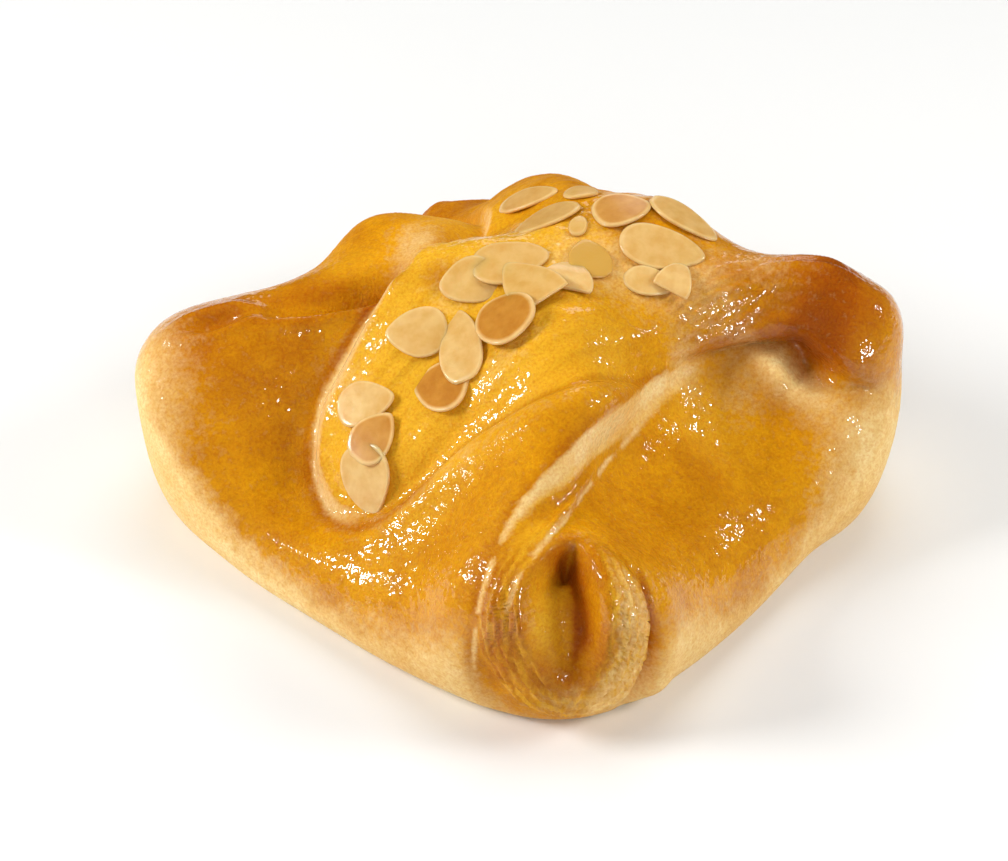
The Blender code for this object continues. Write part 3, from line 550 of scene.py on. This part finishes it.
def makeDough():
    # the folded skin on a square grid bent round the loaf, evened out, and closed by a flat base
    n = doughSizes["gridLines"]
    line = np.linspace(-1, 1, n)
    q, p = (g.ravel() for g in np.meshgrid(line, line, indexing="ij"))
    p, q = evenNet(p, q, foldedSkin(p, q)[0])
    skin, u, v, steepness, tone = foldedSkin(p, q)

    # the flat base is a fan from the skin's rim to its middle
    index = np.arange(n * n).reshape(n, n)
    rim = np.concatenate([index[0, :-1], index[:-1, -1], index[-1, :0:-1], index[:0:-1, 0]])
    centre = skin[rim].mean(0) * (1, 1, 0)
    corners = index[:-1, :-1], index[:-1, 1:], index[1:, 1:], index[1:, :-1]
    faces = np.stack(corners, axis=-1).reshape(-1, 4).tolist()
    faces += np.stack([rim, np.full(len(rim), n * n), np.roll(rim, -1)], axis=1).tolist()
    box = skin.min(0), skin.max(0)
    shift = -(box[0] + box[1]) / 2 * (1, 1, 0)
    piece = newPiece("foldedDough", np.vstack([skin, centre]) + shift, faces)
    wholeUv = np.append(u, 0), np.append(v, 0)
    return piece, skin + shift, u, v, wholeUv, np.append(steepness, -1), tone, shift


dough, skin, u, v, wholeUv, facingUp, tone, shift = makeDough()
print("folded dough:", len(dough.data.vertices), "points; shifted", np.round(shift, 2))


# paint on the dough: how bare and pale, how browned, how yellow and how glazed each place is

# painted shade in hollows, creases and under edges goes in with the browning, painted highlight lines with the
# pale
bakePaint = {
    # middle, radii, turn, amount
    "paleSpots": (((-82, -8), (11, 15), 0, .85), ((-26, 9), (4, 8), -25, .6), ((66, -17), (8, 8), 0, .55),
                  ((47.5, -13.2), (10, 2.6), -16, .95), ((41, -17), (7, 4), -30, .3),
                  ((30, -18.5), (5, 3), -30, .5), ((16, -99), (14, 5), 5, .25), ((-41, -25), (4, 8), 20, .35),
                  ((-20, -12), (9, 5), 60, .25), ((8, -8), (12, 7), -10, .48), ((-8, -30), (10, 3.5), 40, .22),
                  ((24, -7), (8, 6), 0, .4), ((36, -1), (9, 3.5), -5, .22)),
    # two toast spots are painted shade: (52, -9.6) in the hollow under the roll and (9, -70) deep in the
    # swirl's hollow
    "toastAndShadeSpots": (((49, -5), (6, 7.5), 0, .88), ((55, 0), (7, 6), 0, .25), ((60, -7), (6, 6), 0, .15),
                   ((45, 2), (11, 6), 0, .4), ((52, -9.6), (4, 2), -15, .3), ((-65, 0), (11, 6), 0, .5),
                   ((-68, -8), (9, 5), 20, .3), ((-46, 3.2), (16, 4), -5, .45), ((-58, -12), (14, 9), 0, .25),
                   ((-66, -22), (12, 12), 0, .15), ((-4, -77), (4, 14), 8, .28), ((-7, -89), (7, 6), 0, .4),
                   ((9, -94.5), (9, 2.5), 0, .4), ((9, -70), (4.5, 5), -15, .8), ((-22, -8), (4, 3), 30, .4),
                   ((30, -3), (14, 6), -10, .2), ((-22, 26), (14, 10), 0, .1), ((-14, 62), (14, 16), 0, .6),
                   ((25, 40), (26, 16), -45, .25), ((-40, 36), (22, 14), 45, .2)),
    "yellowSpots": (((-14, 20), (8, 13), 0, .5), ((-36, 9), (8, 5), 0, .2), ((36, -23), (11, 6), -30, .55),
                    ((4, -84), (5, 9), 0, .9), ((2, -67), (5, 6), 60, .5), ((12, -28), (10, 6), -30, .5),
                    ((-20, -52), (16, 7), 30, .45)),
    "dullSpots": (((-74, -9), (9, 11), 0, .85), ((-64, -24), (12, 12), 0, .5), ((-24, 8), (10, 12), 0, .95),
                  ((-24, -26), (20, 16), 30, .5), ((-8, -48), (16, 9), 25, .75), ((29, -31), (9, 8), 0, .6),
                  ((74, -40), (14, 30), 0, .4)),
    "washedSides": (((-33, -74), (26, 18), -35, .3), ((55, -60), (34, 26), 45, .3),
                    ((80, -15), (14, 24), 0, .15)),
    # marks of the folds, amount
    # the seam's foot and the edge beside the swirl get painted highlight lines
    "paleMarks": {"seamFootHighlight": .75, "edgeHighlight": .75, "lip": .2},
    # the marks of the hollow, the groove, the roll's underside, the crease and the feet of the tip and wall
    # are painted shade; the others are browning
    "toastAndShadeMarks": {"hollow": .12, "groove": .75, "seamEdge": .3, "rollUnderShade": .45, "rim": .3, "leftLip": .4,
                   "rollStripe": .3, "tipFootShade": .5, "wallFootShade": .6, "creaseShade": .25},
    "yellowMarks": {"lip": .4, "cutLower": .8, "bandStripe": .75},
    "swirlMiddle": (9, -82), "swirlRadii": (23, 28),       # no bare sides within this ellipse
    "bareSide": (.50, -.06),        # the loaf's upward tilt where the wash starts to thin out, and ends
    "backEdge": (2, 34),            # heights between which the wash thins out behind
    "dullBack": .9,                 # how much thinner the glaze is behind the crown
    # the hollow's far wall gets painted shade
    "hollowShadeWall": (10.5, 13.5),       # u across the hollow, from its yellow wall to its brown one
}


def sumOfSpots(spots, u, v):
    # union of soft ellipses: 1 - product of (1 - amount x bell)
    bare = 1
    for middle, radii, turn, amount in spots:
        bare = bare * (1 - amount * spot(u, v, middle, radii, turn))
    return 1 - bare


def sumOfMarks(marks, mark):
    bare = 1
    for name, amount in marks.items():
        bare = bare * (1 - amount * mark[name])
    return 1 - bare


def paintDough():
    uu, vv = wholeUv
    extra = np.zeros(len(uu) - len(u))
    mark = {name: np.concatenate([values, extra]) for name, values in tone.items()}
    height = np.concatenate([skin[:, 2], extra])
    patch, fine = ripple(uu, vv, 13, 6), ripple(uu, vv, 4, 7)
    b = bakePaint

    # low on the sides the dough stays bare, with a softer edge behind
    behind = smooth(vv, 0, 25)
    tilt = facingUp * (1 - .6 * behind) + .55 * behind * smooth(height + 4 * patch, *b["backEdge"])
    side = smooth(tilt + .07 * patch + .05 * fine, *b["bareSide"])
    swirl = smooth(ellipse(uu, vv, b["swirlMiddle"], b["swirlRadii"]), 1.2, .8)
    side = side * (1 - swirl) * (1 - mark["knob"]) * (1 - sumOfSpots(b["washedSides"], uu, vv))

    # bare and pale: sides, cut faces, the top flap's free edge, streaks on the swirl's right arm, painted
    # highlight lines
    cut = .95 * mark["cutFace"] - .45 * mark["cutLower"]
    edge = .75 * mark["overlayWall"] * smooth(vv, 34, 14)
    arm = (.15 + .5 * mark["streak"]) * mark["rightArm"]
    pale = 1 - (1 - .95 * side) * (1 - cut) * (1 - edge) * (1 - arm) \
        * (1 - sumOfMarks(b["paleMarks"], mark)) * (1 - sumOfSpots(b["paleSpots"], uu, vv))

    # browned: corners, rims, between the band's stripes; painted shade in the hollow, on its far wall and in
    # creases
    # painted shade: the far wall of the hollow, in shadow under its curl, is darkened
    hollowShadeWall = .85 * mark["hollow"] * smooth(uu, *b["hollowShadeWall"])
    between = .3 * (mark["band"] - mark["bandStripe"]) * (1 - .7 * mark["rightArm"])
    toastAndShade = 1 - (1 - hollowShadeWall) * (1 - between) * (1 - sumOfMarks(b["toastAndShadeMarks"], mark)) \
        * (1 - sumOfSpots(b["toastAndShadeSpots"], uu, vv))
    toastAndShade = toastAndShade * (1 - .8 * side) * (1 - .7 * mark["cutFace"]) * (1 - mark["edgeHighlight"]) + .09 * patch

    # yellow where the dough is thin over the filling
    over = mark["overlay"] * (.85 - .5 * smooth(uu, -4, 9)) * smooth(vv, 12, -2)
    rolled = .35 * smooth(patch, -.2, .5) * mark["rollStripe"]
    yellow = 1 - (1 - over) * (1 - rolled) * (1 - sumOfMarks(b["yellowMarks"], mark)) \
        * (1 - sumOfSpots(b["yellowSpots"], uu, vv))

    # glaze, thin behind, low down and on bare dough
    away = np.clip(b["dullBack"] * smooth(vv, 5, 16) + .7 * smooth(facingUp, .3, -.05), 0, 1)
    glaze = (1 - .85 * side - .1 * mark["cutFace"]) * (1 - away) * (1 - sumOfSpots(b["dullSpots"], uu, vv))
    for name, values in (("pale", pale), ("toastAndShade", toastAndShade), ("yellow", yellow * (1 - side)), ("glaze", glaze)):
        paint(dough, name, values)


paintDough()
print("paint done")


# almond flakes

flakeSizes = {
    "thickness": .68,
    "waves": ((2, .035, 1), (3, .02, 2.3), (5, .012, 4.1)),   # bends of the outline: how many, height, phase
    "taper": .20,             # how much narrower the tip end is
    "point": .12,             # and how much more where the tip is pointed
    "dome": .10,
    "edgeRings": 7,
    "rise": .38,              # middle of a flake over the dough it lies on
    "layer": .75,             # added for each flake under it
    "bed": 3.6,               # how much dough round its middle a flake settles on
    "around": 40,             # faces round a flake
    "rings": 9,
    # u, v, length, width, turn of the tip from +X, flakes under it, browning, tip (0 round, 1 pointed),
    # bend in mm, how far syrup has soaked in, how much of the blunt end is broken off
    "flakes": (
        (-27.5, -17.4, 11.2, 9.0, 172, 0, .05, .5, .4, .10, 0),
        (-18.0, -24.0, 15.0, 8.6, 96, 1, .05, .7, .3, .10, 0),
        (-22.3, -30.2, 11.8, 9.8, 160, 0, .95, .1, .3, .0, 0),
        (-8.1, -22.7, 12.8, 10.8, 130, 2.2, .90, .2, .4, .0, 0),
        (-3.9, -16.4, 16.0, 9.6, 126, 1.6, .12, .9, .4, .30, .45),
        (-8.9, -8.4, 13.6, 9.4, 14, .8, .15, .2, .4, .25, 0),
        (-16.5, -10.6, 11.6, 8.7, 200, 0, .05, .5, .3, .20, 0),
        (2.2, -14.2, 9.8, 8.8, 80, 0, .0, .2, 1.5, .0, .5),
        (-1.7, 4.4, 13.0, 7.5, 196, 0, .30, .5, .4, .25, 0),
        (-3.7, 16.5, 12.5, 5.8, -14, 0, .35, .2, .4, .1, 0),
        (10.8, 2.6, 11.0, 9.0, 12, 0, .75, .2, .5, .0, 0),
        (3.6, -0.3, 5.5, 3.4, 80, 0, .10, .2, .3, .4, 0),
        (5.8, -8.2, 9.5, 8.0, 100, 0, .0, .2, .3, .95, 0),
        (18.5, -3.2, 15.5, 8.6, -8, 0, .08, .2, .4, .15, 0),
        (17.6, -9.4, 9.5, 5.4, -12, 0, .0, .3, .6, .1, 0),
        (22.1, -8.6, 8.8, 6.6, 65, 1, .03, .2, 1.5, .0, .55),
        (21.4, 3.3, 13.8, 7.0, -28, 0, .20, .3, .4, .1, 0),
        (4.0, 10.4, 6.5, 4.6, 0, 0, .20, .2, .4, .3, 0),
        (-39.2, -26.6, 11.2, 7.8, 2, 0, .02, .3, .3, .0, 0),
        (-37.4, -34.8, 10.0, 8.2, 48, 1, .75, .7, .4, .0, 0),
        (-40.2, -41.2, 12.5, 10.6, -72, 0, .0, .2, .3, .0, 0),
    ),
}


def flakeShell(length, width, tip, bend, broken, seed):
    # closed lens: outline = ellipse narrowed towards one end, waved a little, and cut off where it is broken;
    # rings from the top's middle, over an edge rounded by half the thickness, to the underside's middle;
    # bent along its length by bend x (share of half the length)^2
    f = flakeSizes
    a = np.linspace(0, 2 * np.pi, f["around"], endpoint=False)
    wave = 1 + sum(height * np.sin(count * a + phase * seed) for count, height, phase in f["waves"])
    x, y = np.cos(a) * wave, np.sin(a) * wave
    y = y * (1 - f["taper"] * (1 + tip) * x - f["point"] * tip * x * x)
    x = np.maximum(x, broken - 1 + .12 * broken * y)
    half = f["thickness"] / 2
    inset = half / (width / 2)
    flat = np.linspace(0, 1 - inset, f["rings"])[1:-1]
    rings = [(k, half, k) for k in flat]
    overEdge = np.linspace(0, np.pi, f["edgeRings"])
    rings += [(1 - inset + inset * math.sin(t), half * math.cos(t), 1) for t in overEdge]
    rings += [(k, -half, k) for k in flat[::-1]]
    rows, rimShare = [], []
    for k, z, share in rings:
        dome = np.sign(z) * f["dome"] * half * (1 - k * k)
        rows.append(np.stack([x * k * length / 2, y * k * width / 2, np.full_like(x, z + dome)], axis=1))
        rimShare.append(np.full_like(x, share * k if share < 1 else 1 - .5 * inset * (1 - abs(z) / half)))
    top = (1 + f["dome"]) * half
    places = np.vstack(rows + [[[0, 0, top], [0, 0, -top]]])
    places[:, 2] -= bend * ((places[:, 0] / (length / 2))**2 - .4)
    share = np.concatenate(rimShare + [[0, 0]])
    m, r = len(a), len(rings)
    index = np.arange(m * r).reshape(r, m)
    nxt = np.roll(index, -1, axis=1)
    faces = np.stack([index[:-1], index[1:], nxt[1:], nxt[:-1]], axis=-1).reshape(-1, 4).tolist()
    faces += [[m * r, i, j] for i, j in zip(index[0], nxt[0])]
    faces += [[m * r + 1, j, i] for i, j in zip(index[-1], nxt[-1])]
    return places, faces, share


def makeFlakes():
    # each flake lies on the plane that best fits the dough round its middle
    f = flakeSizes
    allPlaces, allFaces = [], []
    shades = {"browning": [], "rimShare": [], "soaked": []}
    start = 0
    for number, flake in enumerate(f["flakes"]):
        fu, fv, length, width, turn, under, browning, tip, bend, soaked, broken = flake
        near = skin[np.hypot(u - fu, v - fv) < f["bed"]]
        middle = near.mean(0)
        up = np.linalg.svd(near - middle, full_matrices=False)[2][2]
        up = up * np.sign(up[2])
        right = np.array([1, 0, 0]) - up * up[0]
        right /= np.linalg.norm(right)
        t = math.radians(turn)
        xAxis = right * math.cos(t) + np.cross(up, right) * math.sin(t)
        axes = np.stack([xAxis, np.cross(up, xAxis), up])
        places, faces, share = flakeShell(length, width, tip, bend, broken, number * 1.7)
        allPlaces.append(middle + up * (f["rise"] + f["layer"] * under) + places @ axes)
        allFaces += [[i + start for i in face] for face in faces]
        start += len(places)
        for name, values in (("browning", browning), ("rimShare", share), ("soaked", soaked)):
            shades[name].append(np.full(len(places), values))
    piece = newPiece("almondFlakes", np.vstack(allPlaces), allFaces)
    for name, values in shades.items():
        paint(piece, name, np.concatenate(values))
    return piece


flakes = makeFlakes()
print("almond flakes:", len(flakes.data.polygons), "faces")


# finishes

def linear(hexColour):
    # sRGB hex -> linear red, green, blue, 1
    c = [int(hexColour[i:i + 2], 16) / 255 for i in (1, 3, 5)]
    return tuple(x / 12.92 if x <= .04045 else ((x + .055) / 1.055)**2.4 for x in c) + (1,)


def setInputs(material, node, inputs):
    # each input is a plain value, an sRGB hex colour or another node's output
    for key, value in inputs.items():
        if isinstance(value, bpy.types.NodeSocket):
            material.node_tree.links.new(value, node.inputs[key])
        else:
            node.inputs[key].default_value = linear(value) if isinstance(value, str) else value


def addNode(material, kind, inputs, output=0, **settings):
    # one node with its own settings and its inputs; gives back one of its outputs
    node = material.node_tree.nodes.new("ShaderNode" + kind)
    for key, value in settings.items():
        setattr(node, key, value)
    setInputs(material, node, inputs)
    return node.outputs[output]


def newMaterial(name):
    material = bpy.data.materials.new(name)
    material.use_nodes = True
    return material, material.node_tree.nodes["Principled BSDF"]


doughFinish = {
    "golden": "#E09C08", "goldenDeep": "#C47C04", "yellow": "#F2BA2C",
    "toastAndShade": "#AC5904", "toastAndShadeDark": "#863E02", "pale": "#FFE6A6", "paleDeep": "#F5C672",
    "poolSize": 9, "speckSize": 1.3, "crumbSize": .5, "glazeGrain": 1.7,     # widths of blotches, mm
    "roughBare": .65, "roughGlazed": .5, "specular": .1, "coatRough": .08, "coatIor": 1.4,
    "crumbHeight": .45, "glazeHeight": .32,                                    # bump distances, mm
    "subsurface": .10, "subsurfaceReach": 2.5,
}


def eggWashedDough():
    # sweet dough, egg-washed, baked and glazed: a golden, shiny skin over the top, mottled where the wash ran
    # thin, brown at corners and rims, and pale matt crust low on the sides and on cut faces
    # the brown also carries painted shade in hollows, creases and under edges; the pale carries painted
    # highlight lines
    f = doughFinish
    m, shader = newMaterial("eggWashedBakedDough")
    pale, toastAndShade, yellow, glaze = (addNode(m, "Attribute", {}, "Fac", attribute_name=name)
                                  for name in ("pale", "toastAndShade", "yellow", "glaze"))
    where = addNode(m, "TexCoord", {}, "Object")
    pool, speck, crumb, grain = (
        addNode(m, "TexNoise", {"Vector": where, "Scale": 1 / (f[size] * mm), "Detail": detail,
                                "Roughness": .58}, "Fac")
        for size, detail in (("poolSize", 4), ("speckSize", 3), ("crumbSize", 2), ("glazeGrain", 1)))

    # golden wash, deeper where it pooled and in fine specks
    pooled = addNode(m, "MapRange", {"Value": pool, "From Min": .36, "From Max": .66, "To Max": .75})
    specked = addNode(m, "MapRange", {"Value": speck, "From Min": .38, "From Max": .68,
                                      "To Min": -.2, "To Max": .34})
    deep = addNode(m, "Math", {0: pooled, 1: specked}, operation="ADD", use_clamp=True)
    golden = addNode(m, "Mix", {0: deep, 6: f["golden"], 7: f["goldenDeep"]}, 2, data_type="RGBA")

    # thin, see-through dough over the filling is yellower
    uneven = addNode(m, "MapRange", {"Value": pool, "To Min": 1.15, "To Max": .75})
    thin = addNode(m, "Math", {0: yellow, 1: uneven}, operation="MULTIPLY", use_clamp=True)
    washed = addNode(m, "Mix", {0: thin, 6: golden, 7: f["yellow"]}, 2, data_type="RGBA")

    # browning, from toast to nearly burnt, and painted shade in the same browns
    speckShare = addNode(m, "Math", {0: speck, 1: .5, 2: -.25}, operation="MULTIPLY_ADD")
    speckled = addNode(m, "Math", {0: speckShare, 1: toastAndShade}, operation="MULTIPLY")
    browned = addNode(m, "Math", {0: toastAndShade, 1: speckled}, operation="ADD")
    first = addNode(m, "MapRange", {"Value": browned, "From Min": .04, "From Max": .72})
    second = addNode(m, "MapRange", {"Value": browned, "From Min": .62, "From Max": 1.05, "To Max": .85})
    brown = addNode(m, "Mix", {0: first, 6: washed, 7: f["toastAndShade"]}, 2, data_type="RGBA")
    dark = addNode(m, "Mix", {0: second, 6: brown, 7: f["toastAndShadeDark"]}, 2, data_type="RGBA")

    # bare crust, grainy where the wash thins out, and painted highlight lines in the same pale
    crustShare = addNode(m, "MapRange", {"Value": pool, "From Min": .3, "From Max": .7, "To Max": .8})
    crust = addNode(m, "Mix", {0: crustShare, 6: f["pale"], 7: f["paleDeep"]}, 2, data_type="RGBA")
    edgeGrain = addNode(m, "Math", {0: speck, 1: .7, 2: -.35}, operation="MULTIPLY_ADD")
    patchy = addNode(m, "Math", {0: pale, 1: edgeGrain}, operation="ADD")
    bare = addNode(m, "MapRange", {"Value": patchy, "From Min": .08, "From Max": .92})
    skinColour = addNode(m, "Mix", {0: bare, 6: dark, 7: crust}, 2, data_type="RGBA")
    crumbShare = addNode(m, "MapRange", {"Value": crumb, "From Min": .4, "From Max": .7, "To Max": .4})
    colour = addNode(m, "Mix", {0: crumbShare, 6: skinColour, 7: f["golden"]}, 2,
                     data_type="RGBA", blend_type="MULTIPLY")

    # the crust's bumps lie under the glaze, whose own surface is a little uneven
    relief = addNode(m, "Math", {0: speck, 1: .6, 2: crumb}, operation="MULTIPLY_ADD")
    bumps = addNode(m, "Bump", {"Height": relief, "Strength": .45, "Distance": f["crumbHeight"] * mm})
    waves = addNode(m, "Bump", {"Height": grain, "Strength": 1, "Distance": f["glazeHeight"] * mm})
    rough = addNode(m, "MapRange", {"Value": glaze, "To Min": f["roughBare"], "To Max": f["roughGlazed"]})
    coat = addNode(m, "MapRange", {"Value": glaze, "From Min": .15, "From Max": .9})
    setInputs(m, shader, {
        "Base Color": colour, "Normal": bumps, "Coat Normal": waves, "Roughness": rough, "Coat Weight": coat,
        "Coat Roughness": f["coatRough"], "Coat IOR": f["coatIor"], "Specular IOR Level": f["specular"],
        "Subsurface Weight": f["subsurface"], "Subsurface Radius": (1, .45, .15),
        "Subsurface Scale": f["subsurfaceReach"] * mm})
    return m


almondFinish = {
    "pale": "#EBC27C", "paleDeep": "#DAA452", "toasted": "#C98522", "toastedDark": "#B56C10",
    "rim": "#F6DFAE", "syrup": "#D2A044", "cloudSize": 2.6, "grainSize": 1.0,      # widths of blotches, mm
    "rough": .45, "specular": .25, "coat": .7, "coatRough": .18,
    "subsurface": .3, "subsurfaceReach": 1.5,
}


def flakedAlmond():
    # blanched almond shaved thin, toasted under glaze: a waxy middle, browner in some, in a pale rim
    f = almondFinish
    m, shader = newMaterial("flakedToastedAlmond")
    browning, rim, soaked = (addNode(m, "Attribute", {}, "Fac", attribute_name=name)
                             for name in ("browning", "rimShare", "soaked"))
    where = addNode(m, "TexCoord", {}, "Object")
    cloud, grain = (addNode(m, "TexNoise", {"Vector": where, "Scale": 1 / (f[k] * mm), "Detail": 3}, "Fac")
                    for k in ("cloudSize", "grainSize"))
    cloudy = addNode(m, "MapRange", {"Value": cloud, "From Min": .35, "From Max": .7, "To Max": .8})
    plain = addNode(m, "Mix", {0: cloudy, 6: f["pale"], 7: f["paleDeep"]}, 2, data_type="RGBA")
    burnt = addNode(m, "Mix", {0: cloudy, 6: f["toasted"], 7: f["toastedDark"]}, 2, data_type="RGBA")
    middle = addNode(m, "MapRange", {"Value": rim, "From Min": .68, "From Max": .93,
                                     "To Min": 1, "To Max": .2})
    share = addNode(m, "Math", {0: browning, 1: middle}, operation="MULTIPLY")
    body = addNode(m, "Mix", {0: share, 6: plain, 7: burnt}, 2, data_type="RGBA")
    edge = addNode(m, "MapRange", {"Value": rim, "From Min": .86, "From Max": 1, "To Max": .22})
    rimmed = addNode(m, "Mix", {0: edge, 6: body, 7: f["rim"]}, 2, data_type="RGBA")
    setInputs(m, shader, {
        "Base Color": addNode(m, "Mix", {0: soaked, 6: rimmed, 7: f["syrup"]}, 2, data_type="RGBA"),
        "Normal": addNode(m, "Bump", {"Height": grain, "Strength": .4, "Distance": .25 * mm}),
        "Roughness": f["rough"], "Specular IOR Level": f["specular"], "Coat Weight": f["coat"],
        "Coat Roughness": f["coatRough"], "Subsurface Weight": f["subsurface"],
        "Subsurface Radius": (1, .6, .3), "Subsurface Scale": f["subsurfaceReach"] * mm})
    return m


dough.data.materials.append(eggWashedDough())
flakes.data.materials.append(flakedAlmond())
for piece in (dough, flakes):
    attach(piece, "root")
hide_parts("pastry")
print("finishes done")


# floor, light and camera

studio = {
    "floorSize": 6.0,
    "floorColour": "#F4F4F2",
    "worldColour": "#FFFFFF", "worldStrength": .14,
    # towards, distance and size in metres, watts, whether only the glaze mirrors it
    "lights": (((-.81, -.08, .56), .75, .30, 4.2, False), ((.83, -.07, .53), .75, .28, 2.6, False),
               ((.10, .30, .95), .8, .5, 2.2, False), ((.05, -.85, .55), .8, .5, 1.4, False),
               ((-.86, -.16, .48), .75, .11, 2.6, True), ((-.93, .14, .34), .75, .06, .6, True),
               ((.83, .08, .52), .75, .06, 1.0, True), ((.53, -.80, .25), .75, .09, 1.4, True),
               ((.05, .90, .45), .8, .30, .5, True)),
    "lit": (0, 0, .025),                          # the point that the lights face, in metres
    "aim": (-2.65, 0, 12.8), "azimuth": 0, "elevation": 40, "distance": 520,      # degrees and millimetres
    "focalPixels": 2844.4, "imageWidth": 1008, "sensorWidth": 36,
}


def setStudio():
    s = studio
    half = s["floorSize"] / 2
    corners = np.array([(-half, -half, 0), (half, -half, 0), (half, half, 0), (-half, half, 0)])
    floor = newPiece("floor", corners / mm, [[0, 1, 2, 3]])
    paper, shader = newMaterial("whitePaperSweep")
    shader.inputs["Base Color"].default_value = linear(s["floorColour"])
    shader.inputs["Roughness"].default_value = .8
    floor.data.materials.append(paper)
    world = bpy.data.worlds.new("studio")
    world.use_nodes = True
    world.node_tree.nodes["Background"].inputs["Color"].default_value = linear(s["worldColour"])
    world.node_tree.nodes["Background"].inputs["Strength"].default_value = s["worldStrength"]
    world.cycles_visibility.glossy = False        # the glaze mirrors only the lamps and stays deep in colour
    bpy.context.scene.world = world
    target = Vector(s["lit"])
    for number, (towards, distance, size, watts, mirrored) in enumerate(s["lights"]):
        light = bpy.data.lights.new(f"light{number}", "AREA")
        light.shape = "DISK"
        light.size = size
        light.energy = watts
        lamp = bpy.data.objects.new(light.name, light)
        lamp.visible_glossy = mirrored
        lamp.visible_diffuse = not mirrored
        lamp.location = target + Vector(towards).normalized() * distance
        lamp.rotation_euler = (target - lamp.location).to_track_quat("-Z", "Y").to_euler()
        bpy.context.scene.collection.objects.link(lamp)


def setCamera():
    s = studio
    a, e = math.radians(s["azimuth"]), math.radians(s["elevation"])
    back = Vector((math.sin(a) * math.cos(e), -math.cos(a) * math.cos(e), math.sin(e)))
    right = Vector((math.cos(a), math.sin(a), 0))
    up = back.cross(right)
    camera = bpy.data.cameras.new("camera")
    camera.sensor_width = s["sensorWidth"]
    camera.lens = s["sensorWidth"] * s["focalPixels"] / s["imageWidth"]
    camera.clip_start = .01
    holder = bpy.data.objects.new("camera", camera)
    aim = Vector(s["aim"]) + Vector(shift)
    holder.matrix_world = Matrix((right, up, back)).transposed().to_4x4()
    holder.location = (aim + back * s["distance"]) * mm
    bpy.context.scene.collection.objects.link(holder)
    bpy.context.scene.camera = holder


setStudio()
setCamera()
bpy.context.scene.view_settings.view_transform = "Standard"
print("scene ready")
